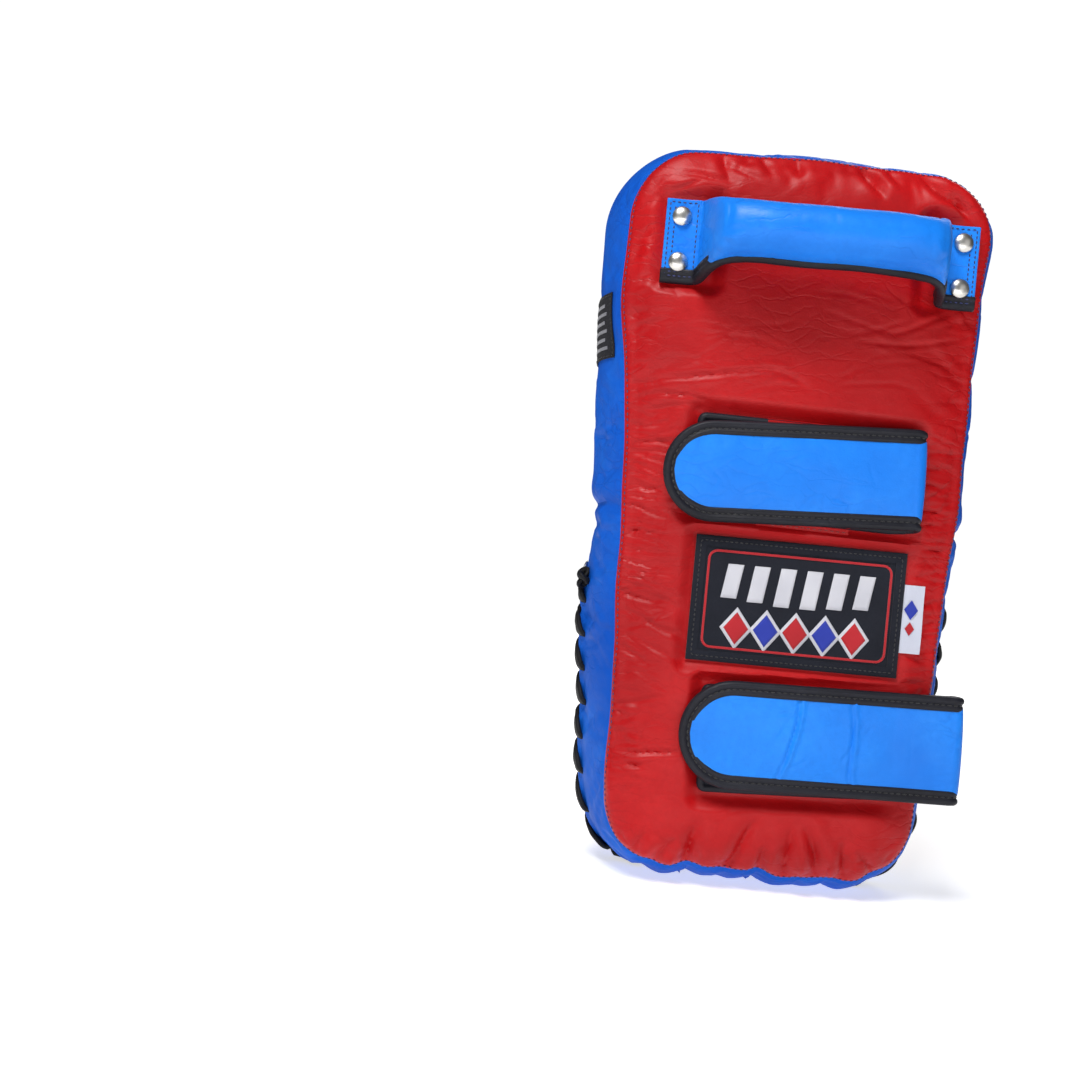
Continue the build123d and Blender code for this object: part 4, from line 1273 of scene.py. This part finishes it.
def motif(low, high):
    """A plain geometric motif in place of a name: a row of slanted blocks over a small diamond row."""
    lift = PATCH_THICK + 0.12
    left, right = low[0] + 14, high[0] - 14
    top = high[2] - 14
    width = (right - left) / 6
    for n in range(6):
        x = left + n * width
        tall = 21.0 - 1.2 * abs(n - 2.5)
        outline = [(x + 1.2, top - tall), (x + width - 4.4, top - tall), (x + width - 1.6, top),
                   (x + 4.0, top)]
        flat_shape(f"motif_block_{n}", outline, lift, 0.3, PATCH_WHITE)
    middle, base = (left + right) / 2, low[2] + 18.5
    for n in range(5):
        x = middle + (n - 2) * 15.5
        half, tall = 6.6, 8.6
        for grow, raised, paint in ((1.3, 0.0, PATCH_WHITE), (1.0, 0.25, PATCH_BLUE if n % 2 else PATCH_RED)):
            outline = diamond(x, base, half * grow, tall * grow)
            flat_shape(f"motif_diamond_{n}_{raised}", outline, lift + raised, 0.3, paint)


name_patch()


def side_tag():
    """A short folded tag that comes out from under the patch."""
    low, high = box_mm("side_tag")

    def on_tag(points, lift):
        share = (points[..., 0] - low[0]) / (high[0] - low[0])
        return on_back(points, lift + 1.3 * share**2 + 0.5 * share * np.sin(points[..., 1] / 7.0))

    grid = smoothed(on_tag(np.stack(spread(low[::2], high[::2], 16, 30), -1), 0.5), 8)
    shell("side_tag_cloth", grid, 0.5, TAG, ["side_tag"])
    for n, ((up, size), paint) in enumerate(zip(TAG_MARKS, (PATCH_BLUE, PATCH_RED))):
        outline = diamond(high[0] - 6.5, (low[2] + high[2]) / 2 + up, size * 0.7, size)
        points = on_tag(resample(np.array(outline), 24, closed=True), 0.95)
        new_piece(f"side_tag_mark_{n}", points, [list(range(24))], paint)


side_tag()


# ---- straps
def mirrored(half):
    """A closed section from its upper half."""
    return half + [(n, -t) for n, t in half[-2::-1]]


BIND_PROFILE = mirrored([(-7.4, 0.9), (-7.2, 1.75), (-6.2, 2.0), (-4.9, 2.0), (-4.25, 1.35), (-3.9, 1.3),
                         (-3.5, 1.6), (-2.7, 2.25), (-1.6, 2.45), (-0.6, 2.1), (0.15, 1.2), (0.4, 0.0)])


def directions(tilt):
    """Along and across a strip that lies at an angle to the pad's width."""
    return np.array([math.cos(tilt), 0, math.sin(tilt)]), np.array([-math.sin(tilt), 0, math.cos(tilt)])


class Strap:
    """One forearm strap, drawn flat with its fold at u = 0 and running towards -u."""

    def __init__(self, name):
        self.name = name
        low, _ = box_mm(name + "_strap_flap_binding")
        fold_low, fold_high = box_mm(name + "_strap_fold")
        joint = next(j for j in frame["joints"] if j["child"] == name + "_flap")
        axis = np.array(joint["axis"])
        self.pivot = np.array(joint["pos_m"]) / MM
        self.tilt = math.atan2(-axis[0], axis[2])
        self.fold_r = BACK_FACE_Y - self.pivot[1]
        self.along, self.across = directions(self.tilt)
        self.fold = self.pivot + self.along * self.fold_r
        self.width = (fold_high[2] - fold_low[2]) - abs(math.sin(self.tilt)) * (fold_high[0] - fold_low[0])
        self.width /= math.cos(self.tilt)
        self.length = (self.fold[0] - low[0] - self.width / 2) / math.cos(self.tilt) + self.width / 2
        base_low, _ = box_mm(name + "_strap_base_binding")
        self.base_tilt = math.radians(BASE_TILT[name])
        self.drop = BASE_DROP[name]
        self.bend_r = (FLAP_MID - BASE_MID) / 2
        turn = self.pivot * MM
        self.turn_start = tuple(turn + np.array([TURN_AHEAD, TURN_AHEAD, 0]) * MM)
        self.turn_end = tuple(turn + np.array([-TURN_BEHIND, -TURN_BEHIND, 0]) * MM)
        self.base_left = (base_low[0] - self.fold[0]) / math.cos(self.base_tilt)
        keeper_low, keeper_high = box_mm(name + "_strap_keeper")
        self.keeper = (keeper_low[0] - self.fold[0] + 1, keeper_high[0] - self.fold[0] - 1)

    def fold_rows(self, count=22):
        """Middle line, width direction and outward direction round the bend, from base to flap."""
        y_rest = float(self.rest_y(np.array([self.fold[0] - self.fold_r]))[0])
        centre_y = y_rest - (BASE_MID + FLAP_MID) / 2
        angle = np.linspace(-math.pi / 2, math.pi / 2, count)
        base_share = (1 - np.sin(angle)) / 2
        tilt = self.tilt + (self.base_tilt - self.tilt) * base_share
        across = np.stack([-np.sin(tilt), np.zeros(count), np.cos(tilt)], -1)
        out_u = -self.fold_r + (self.bend_r + FOLD_SLACK) * np.cos(angle)
        middle = self.fold + out_u[:, None] * self.along
        middle[:, 1] = centre_y - self.bend_r * np.sin(angle)
        middle -= across * (FOLD_DROP_SHARE * self.drop * base_share)[:, None]
        radial = np.stack([np.cos(angle), -np.sin(angle), 0 * angle], -1)
        return middle, across, radial

    def rest_y(self, x):
        """The line the strap lies on: the back's crown, carried on straight past its edge."""
        reach = np.clip(x, -66, 66)
        return smooth_back(reach, np.full(np.shape(x), self.fold[2])) - 0.4

    def flap_point(self, u, w, up):
        """A point of the flap: u along, w across, up off its middle surface, away from the pad."""
        spot = self.fold + u[..., None] * self.along + w[..., None] * self.across
        spot[..., 1] = self.rest_y(spot[..., 0]) - FLAP_MID - up
        return spot

    def base_point(self, u, w, up):
        """The same for the under strip."""
        along, across = directions(self.base_tilt)
        level = np.clip(1 + u / FOLD_TURN, 0, 1)[..., None] if self.drop else 0.0
        spot = self.fold + u[..., None] * along + (w[..., None] - self.drop * (1 - 0.5 * level)) * across
        spot[..., 1] = self.rest_y(spot[..., 0]) - BASE_MID - up
        return spot


def edge_path(strap, point, left, round_left, inset=0.0):
    """Points along a strip's edge: top edge from right to left, the left end, bottom edge back."""
    half = strap.width / 2 - inset
    corner = half if round_left else SQUARE_CORNER
    left = left + inset
    top = [(u, half) for u in np.linspace(-strap.fold_r, left + corner, 60)]
    turn = np.linspace(0, math.pi / 2, 14 if round_left else 5)
    in_u, in_w = left + corner, half - corner
    first = [(in_u - corner * math.sin(t), in_w + corner * math.cos(t)) for t in turn[1:]]
    second = [(in_u - corner * math.cos(t), -in_w - corner * math.sin(t)) for t in turn[:-1]]
    bottom = [(u, -half) for u in np.linspace(left + corner, -strap.fold_r, 60)]
    flat = resample(np.array(top + first + second + bottom), 260)
    path = point(flat[:, 0], flat[:, 1], np.zeros(len(flat)))
    up = to_back(len(path))
    return path, unit(np.cross(tangents(path), up)), up


def flap_edge(strap, inset=0.0):
    """The flap's edge with both ends carried on round the fold."""
    path, out, up = edge_path(strap, strap.flap_point, -strap.length, True, inset)
    middle, across, radial = (rows[:-1] for rows in strap.fold_rows())
    half = strap.width / 2 - inset
    path = np.vstack([middle + across * half, path, (middle - across * half)[::-1]])
    return path, np.vstack([across, out, -across[::-1]]), np.vstack([radial, up, radial[::-1]])


def strip_rows(strap, point, left, round_left, lines, tilt_wave):
    """Surface points of the leather between bindings, slightly plump, from its left end to the fold."""
    half = strap.width / 2 - LEATHER_INSET
    left = left + LEATHER_INSET
    u = np.linspace(left, -strap.fold_r, 200)
    reach = np.clip(half - (u - left), 0, half) if round_left else np.zeros(len(u))
    edge = np.sqrt(np.maximum(half**2 - reach**2, 0.2))
    w = np.linspace(-1, 1, 64)[None] * edge[:, None]
    uu = np.broadcast_to(u[:, None], w.shape)
    deep = carved(np.stack([uu, w], -1).reshape(-1, 2), lines).reshape(w.shape)
    calm = np.clip((-strap.fold_r - uu) / 12.0, 0, 1)
    ripple = tilt_wave * np.sin(uu / 9.0 + 1.4 * np.sin(w / 13.0)) * np.sin(w / 17.0 + 1.0)
    return point(uu, w, PLUMP_EDGE + plump(w / half) + (ripple - deep) * calm), (2 * half, -left)


def plump(share):
    """How far the leather stands out between its bindings."""
    return PLUMP_MIDDLE * np.maximum(1 - share**2, 0)**0.7


def strap_creases(strap):
    """Sharp creases across the flap, as a strap gets where it is bent, and a few small ones."""
    half = strap.width / 2
    lines = creases((-strap.length + 20, -20, -18, 18), 9, (30, 150), (8, 26), (0.08, 0.2), (0.8, 1.2))
    for u, angle, depth in STRAP_CREASES[strap.name]:
        line = crease_line(np.array([u, half]), angle, 2 * half, 0.13)
        line[:, 0] += u + math.cos(math.radians(angle)) * half - line[len(line) // 2, 0]
        beside = line + np.array([CREASE_FLANK, 0.0])
        lines += [(line, depth, 0.8), (beside, -0.8 * depth, 1.1)]
        lines += creases((u - 9, u + 6, -half + 8, half - 8), 6, (20, 70), (7, 15), (0.2, 0.4), (0.7, 0.9))
    return lines


def build_strap(name):
    """Flap with its fold in one mesh, and the strip under it with keeper and piles."""
    strap = Strap(name)
    node = name + "_strap_"
    flap_body = name + "_flap"
    rows, flat = strip_rows(strap, strap.flap_point, -strap.length, True, strap_creases(strap), 0.22)
    middle, across, radial = strap.fold_rows()
    half = strap.width / 2 - LEATHER_INSET
    w = np.linspace(-half, half, rows.shape[1])
    bend = middle[:, None] + across[:, None] * w[None, :, None]
    proud = BEND_PROUD * np.cos(np.linspace(-math.pi / 2, math.pi / 2, len(middle)))
    bend = bend + radial[:, None] * ((PLUMP_EDGE + plump(w / half))[None, :] + proud[:, None])[..., None]
    flap = shell(node + "flap_leather", np.concatenate([rows, bend[-2::-1]]), FLAP_LEATHER, BLUE,
                 [node + "flap", node + "fold"], body=None)
    path, out, up = flap_edge(strap)
    edge = sweep(node + "flap_edge", path, out, up, BIND_PROFILE, BLACK, [node + "flap_binding"], body=None)
    groove, _, up = flap_edge(strap, inset=GROOVE)
    thread = stitches(node + "flap_thread", groove + up * GROOVE_LEVEL, up, STRAP_STITCH, BLACK_THREAD,
                      body=None)
    for piece in (flap, edge, thread):
        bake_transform(piece)

    rows, flat = strip_rows(strap, strap.base_point, strap.base_left, False, [], 0.15)
    base = shell(node + "base_leather", rows, FLAP_LEATHER, BLUE, [node + "base"])
    path, out, up = edge_path(strap, strap.base_point, strap.base_left, False)
    sweep(node + "base_edge", path, out, up, BIND_PROFILE, BLACK, [node + "base_binding"])
    groove, _, up = edge_path(strap, strap.base_point, strap.base_left, False, GROOVE)
    stitches(node + "base_thread", groove + up * GROOVE_LEVEL, up, STRAP_STITCH, BLACK_THREAD)
    keeper_piece(strap, node)
    piles(strap, node, flap_body)


def keeper_piece(strap, node):
    """The red patch over the strip's middle, sewn down along its lower edge."""
    half = strap.width / 2
    lip = KEEPER_LIP[strap.name]
    u, w = spread((strap.keeper[0], -half - lip), (strap.keeper[1], half + min(lip, 0.9)), 60, 90)
    step = eased(np.clip((half + KEEPER_STEP[strap.name] - np.abs(w)) / 1.2, 0, 1))
    points = strap.base_point(u, w, -BASE_MID + 0.9 + (4.6 - 0.9) * step)
    shell(node + "keeper_leather", points, 1.0, RED, [node + "keeper"])
    w_line = -half - lip + 1.1
    line_u = np.linspace(strap.keeper[0] + 1, strap.keeper[1] - 1, 60)
    path = strap.base_point(line_u, np.full(60, w_line), np.full(60, -BASE_MID + 1.0))
    stitches(node + "keeper_thread", path, to_back(60), (3.0, 2.0, 0.26), RED_THREAD)


def piles(strap, node, flap_body):
    """Hook under the flap and loop on the base's left wing, as dense tufted patches."""
    rows = (("hook", strap.flap_point, -1, HOOK_LIFT, HOOK, flap_body),
            ("loop", strap.base_point, 1, LOOP_LIFT, LOOP, "pad"))
    for key, point, facing, lift, material, rider in rows:
        low, high = box_mm(node + key)
        left, right = low[0] - strap.fold[0] + 1, high[0] - strap.fold[0] - 1
        u, w = spread((left, -PILE_HALF), (right, PILE_HALF), 56, 56)
        points = point(u, w, facing * (lift + 0.30 * rng.random(u.shape)))
        shell(node + key + "_pile", points, 0.6, material, [node + key], facing < 0, rider)


for name in ("upper", "lower"):
    build_strap(name)

# ---- grip
GRIP_HALF = (TAB_RIGHT[1][0] - TAB_LEFT[0][0]) / 2
TAB_IN = 60.5
TAB_HALF_Z = (GRIP_TOP_Z - GRIP_BOTTOM_Z) / 2 - 1.0
# distance from the middle, height of the centre off the back, half height, half depth, squareness
GRIP_SHAPE = np.array([
    (0, 35.6, 14.4, 15.2, 2.1), (24, 34.8, 14.4, 15.2, 2.1), (44, 32.4, 14.6, 15.0, 2.1),
    (53, 29.0, 15.4, 14.8, 2.1), (57.5, 24.6, 16.8, 14.0, 2.1), (60.2, 18.4, 18.4, 12.0, 2.1),
    (61.9, 11.0, 19.8, 8.4, 2.1), (63.0, 5.2, TAB_HALF_Z - 0.4, 4.4, 2.2), (64.0, 2.6, TAB_HALF_Z, 2.2, 3.0),
    (65.4, 2.1, TAB_HALF_Z, 1.9, 12.0), (GRIP_HALF, 2.1, TAB_HALF_Z, 1.9, 12.0)])


def smooth_table(at, table):
    """Rows of a table read at a distance, with smooth steps between them."""
    reach = table[:, 0]
    spot = np.clip(np.searchsorted(reach, at, side="right") - 1, 0, len(reach) - 2)
    t = np.clip((at - reach[spot]) / (reach[spot + 1] - reach[spot]), 0, 1)[:, None]
    slope = np.gradient(table[:, 1:], reach, axis=0)
    gap = (reach[spot + 1] - reach[spot])[:, None]
    a, b, p, q = table[spot, 1:], table[spot + 1, 1:], slope[spot] * gap, slope[spot + 1] * gap
    value = a * (2 * t**3 - 3 * t**2 + 1) + b * (3 * t**2 - 2 * t**3)
    return value + p * (t**3 - 2 * t**2 + t) + q * (t**3 - t**2)


def grip_rest_y(x):
    """The line the tabs lie on, and between them the straight line from one to the other."""
    left, right = GRIP_X - TAB_IN, GRIP_X + TAB_IN
    ends = smooth_back(np.array([left, right]), np.array([GRIP_Z, GRIP_Z]))
    share = np.clip((x - left) / (right - left), 0, 1)
    inside = ends[0] + (ends[1] - ends[0]) * share
    limit = np.clip(x, GRIP_X - GRIP_HALF, GRIP_X + GRIP_HALF - 5)
    outside = smooth_back(limit, np.full(np.shape(x), GRIP_Z))
    return np.where((x > left) & (x < right), inside, outside) - 0.5


def grip_rows(x):
    """Height off the back, half height, half depth and squareness, by distance from the grip's middle."""
    return smooth_table(np.abs(x), GRIP_SHAPE).T


def both_ways(middle, *parts):
    """Places along the grip: evenly over its middle, then the same steps out to either end."""
    ends = np.concatenate(parts)
    return np.concatenate([-ends[::-1], np.linspace(-middle, middle, 80), ends])


def grip_cover():
    """Tabs and tube of blue leather in one piece: a folded strip, stuffed in its middle."""
    x = both_ways(45, np.linspace(46, 58, 26), np.linspace(58.2, 65.6, 50), np.linspace(66.2, GRIP_HALF, 20))
    off, half_z, half_y, square = grip_rows(x)
    angle = turns(72)
    power = 2.0 / square[:, None]
    cos, sin = np.cos(angle)[None], np.sin(angle)[None]
    y = half_y[:, None] * powered(cos, power)
    z = half_z[:, None] * powered(sin, power)
    tube = np.clip((62 - np.abs(x)) / 5, 0, 1)[:, None]
    lumps = 0.35 * np.sin(x[:, None] / 11.0 + 2 * cos) * sin + 0.25 * np.sin(x[:, None] / 6.3 + 3 * sin)
    around = angle[None] * 16.0
    flat = np.stack(np.broadcast_arrays(x[:, None], around), -1).reshape(-1, 2)
    lines = []
    for side_sign in (-1, 1):
        for _ in range(16):
            start = np.array([side_sign * rng.uniform(54, 59), 16.0 * rng.uniform(0, 2 * math.pi)])
            inward = (0 if side_sign < 0 else 180) + rng.normal(0, 24)
            line = crease_line(start, inward, rng.uniform(8, 24), 0.16)
            lines.append((line, rng.uniform(0.25, 0.7), rng.uniform(0.9, 1.5)))
    lines += creases((-40, 40, 0, 100), 14, (60, 120), (6, 18), (0.08, 0.2), (0.8, 1.3))
    deep = carved(flat, lines).reshape(len(x), -1) * tube
    grow = 1 + (lumps * tube * 0.6 - deep) / np.maximum(half_y, 4)[:, None]
    rest = grip_rest_y(GRIP_X + x)
    points = np.stack([np.broadcast_to(GRIP_X + x[:, None], y.shape),
                       rest[:, None] - off[:, None] + y * grow,
                       GRIP_Z + 1.0 + z * grow - 0.8 * (1 - tube)], -1)
    first, last = end_caps(len(x), len(angle))
    faces = [tuple(f) for f in tube_faces(len(x), len(angle))] + [first[::-1], last]
    stands_for = ["handle_grip_cover", "handle_tab_left", "handle_tab_right", "handle_core", "handle_webbing"]
    piece = new_piece("grip_cover_leather", points.reshape(-1, 3), faces, BLUE, stands_for, None)
    outward_faces(piece)
    return piece


def grip_binding():
    """The black binding over the strip's joined edges: along both tabs and under the tube."""
    x = both_ways(51, np.linspace(52, 58, 12), np.linspace(58.4, 66, 30),
                  np.linspace(67, GRIP_HALF + 0.4, 20))
    on_grip = np.clip(x, -GRIP_HALF, GRIP_HALF)
    off, half_z = grip_rows(on_grip)[:2]
    rest = grip_rest_y(GRIP_X + on_grip)
    wave = 0.35 * np.sin(x / 9.0) * np.clip((58 - np.abs(x)) / 10, 0, 1)
    tab = np.clip((np.abs(x) - 56) / 6, 0, 1)
    path = np.stack([GRIP_X + x, rest - off, GRIP_Z + 1.0 - half_z + 1.6 + wave - 0.8 * tab], -1)
    path = resample(path, 240)
    for _ in range(BEND_ROUNDS):
        path[1:-1] = (path[:-2] + 2 * path[1:-1] + path[2:]) / 4
    along = tangents(path)
    down = np.tile([0.0, 0.0, -1.0], (len(path), 1))
    up = unit(np.cross(along, down))
    up = np.where(up[:, 1:2] > 0, -up, up)
    down = unit(np.cross(up, along))
    down = np.where(down[:, 2:3] > 0, -down, down)
    section = mirrored([(-3.4, 1.0), (-3.2, 1.12), (-1.6, 1.12), (-0.9, 0.86), (0.3, 1.0), (2.0, 1.0),
                        (3.4, 0.72), (4.1, 0.0)])
    return sweep("grip_binding", path, down, up, np.array(section) * (1, BINDING_THICK), BLACK,
                 ["handle_binding", "handle_tab_bindings"], body=None)


def tab_outline_stitches():
    """Sewn lines on both tabs: a box of dark stitches, doubled on the outer side and over the binding."""
    outer, inner = GRIP_HALF - 1.7, TAB_IN + 5.6
    top, bottom = GRIP_Z + TAB_HALF_Z - 1.6, GRIP_Z - TAB_HALF_Z + 5.6
    low = bottom - 4.2
    lines = (((outer, low), (outer, top), 0.05), ((outer - 2.8, bottom), (outer - 2.8, top - 2.0), 0.05),
             ((outer, top), (inner, top), 0.05), ((inner, top), (inner, bottom), 0.05),
             ((outer - 1.0, low), (inner, low), 1.0), ((outer - 1.0, low + 2.2), (inner, low + 2.2), 1.0))
    pieces = []
    for sign in (-1, 1):
        for start, end, lift in lines:
            flat = resample(np.array([start, end], float), 24)
            x = sign * flat[:, 0]
            off, _, half_y, _ = grip_rows(x)
            path = np.stack([GRIP_X + x, grip_rest_y(GRIP_X + x) - off - half_y - lift, flat[:, 1]], -1)
            pieces.append(stitches("tab_line", path, to_back(24), (2.5, 1.8, 0.36), NAVY_THREAD, body=None))
    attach(join("tab_threads", pieces), "pad")


def rivets():
    """Four domed caps pressed into the tabs."""
    profile = ((5.0, 0.0), (5.1, 0.35), (4.95, 0.75), (4.6, 1.05), (3.8, 1.6), (2.7, 2.05), (1.4, 2.3),
               (0.5, 2.36), (0.02, 2.37))
    domes = []
    low, high = box_mm("handle_rivet_caps")
    for x in (low[0] + 5.0, high[0] - 5.0):
        for z in (low[2] + 5.0, high[2] - 5.0):
            points = np.array([(r * math.cos(t), r * math.sin(t), h) for r, h in profile for t in turns(40)])
            off = GRIP_SHAPE[-1][1] + GRIP_SHAPE[-1][3]
            spot = np.array([x, grip_rest_y(np.array([x]))[0] - off + 0.25, z])
            slope = smooth_back(np.array([x - 3, x + 3]), np.array([z, z]))
            lean = unit(np.array([(slope[1] - slope[0]) / 6.0 * 0.5, -1.0, 0.0]))
            faces = tube_faces(len(profile), 40)
            domes.append(new_piece("cap", placed(points, spot, lean), faces, NICKEL, body=None))
    piece = join("rivet_domes", domes)
    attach(piece, "pad")
    outward_faces(piece)
    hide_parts("handle_rivet_caps")


cover = grip_cover()
binding = grip_binding()
tab_outline_stitches()
rivets()
for piece in (cover, binding):
    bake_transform(piece)


def backings():
    """Leather plates inside the panel that the rivets clench on."""
    plates = []
    for n, (low, high) in enumerate((TAB_LEFT, TAB_RIGHT)):
        x, z = spread((low[0] + 1, low[2]), (high[0] - 1, high[2]), 12, 18)
        grid = np.stack([x, smooth_back(x, z) + BACKING_DEPTH, z], -1)
        plates.append(shell(f"backing_{n}", grid, 2.0, BACKING, body=None))
    piece = join("grip_backings", plates)
    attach(piece, "pad")
    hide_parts("handle_backings")


backings()
for node in ("handle_rivet_posts", "handle_rivet_burrs"):
    target = frame["nodes"][node]
    target.data.materials.clear()
    target.data.materials.append(STEEL)


# ---- floor, light and camera
def floor():
    """A white sweep, lit from within away from the pad so that it runs out into the white beyond."""
    mesh = bpy.data.meshes.new("floor")
    rim = [(FLOOR_R * math.cos(turn), FLOOR_R * math.sin(turn), 0.0) for turn in turns(96)]
    mesh.from_pydata(rim, [], [tuple(range(96))])
    piece = added("floor", mesh)
    g = Graph("floor_paper")
    away = g.add("VectorMath", {0: g.place}, operation="LENGTH").outputs["Value"]
    glow = g.maths("MAXIMUM", g.ramp(away, *FLOOR_GLOW), g.ramp(g.axis(1), *REAR_GLOW))
    grain = g.noise(40.0, 3.0)
    shader = g.add("BsdfDiffuse", {"Color": g.blend(grain, (0.78, 0.78, 0.78), (0.80, 0.80, 0.80))})
    light = g.add("Emission", {"Color": (1, 1, 1, 1), "Strength": glow})
    both = g.add("AddShader", {0: shader.outputs[0], 1: light.outputs[0]})
    g.add("OutputMaterial", {0: both.outputs[0]})
    mesh.materials.append(g.material)


def softbox(name, place, size, power):
    """A rectangular area light that looks at the pad."""
    light = bpy.data.lights.new(name, "AREA")
    light.shape = "RECTANGLE"
    light.size, light.size_y = size
    light.energy = power
    lamp = added(name, light)
    lamp.location = place
    lamp.rotation_euler = (Vector(LIGHT_TARGET) - Vector(place)).to_track_quat("-Z", "Y").to_euler()


def studio():
    """A backdrop that is white to the camera and dim as a light, and the softboxes."""
    world = bpy.data.worlds.new("studio")
    world.use_nodes = True
    tree = world.node_tree
    tree.nodes.clear()
    path, mix = tree.nodes.new("ShaderNodeLightPath"), tree.nodes.new("ShaderNodeMixShader")
    tree.links.new(path.outputs["Is Camera Ray"], mix.inputs[0])
    for socket, colour, strength in ((1, (0.95, 0.97, 1.0, 1), 0.07), (2, (1, 1, 1, 1), 1.05)):
        light = tree.nodes.new("ShaderNodeBackground")
        light.inputs[0].default_value = colour
        light.inputs[1].default_value = strength
        tree.links.new(light.outputs[0], mix.inputs[socket])
    tree.links.new(mix.outputs[0], tree.nodes.new("ShaderNodeOutputWorld").inputs[0])
    bpy.context.scene.world = world
    for name, (place, size, power) in LIGHTS.items():
        softbox(name, place, size, power)


def camera():
    """Level view of the back from the left, rolled so that the pad's top leans to the right."""
    data = bpy.data.cameras.new("camera")
    data.lens = CAMERA_LENS
    data.clip_start = 0.05
    eye = added("camera", data)
    spot = Vector((CAMERA_X, BACK_FACE_Y - CAMERA_AWAY, CAMERA_Z)) * MM
    level = Matrix.Rotation(math.pi / 2, 4, "X") @ Matrix.Rotation(math.radians(CAMERA_ROLL), 4, "Z")
    eye.matrix_world = Matrix.Translation(spot) @ level
    bpy.context.scene.camera = eye


floor()
studio()
camera()
bpy.context.scene.view_settings.view_transform = "Standard"
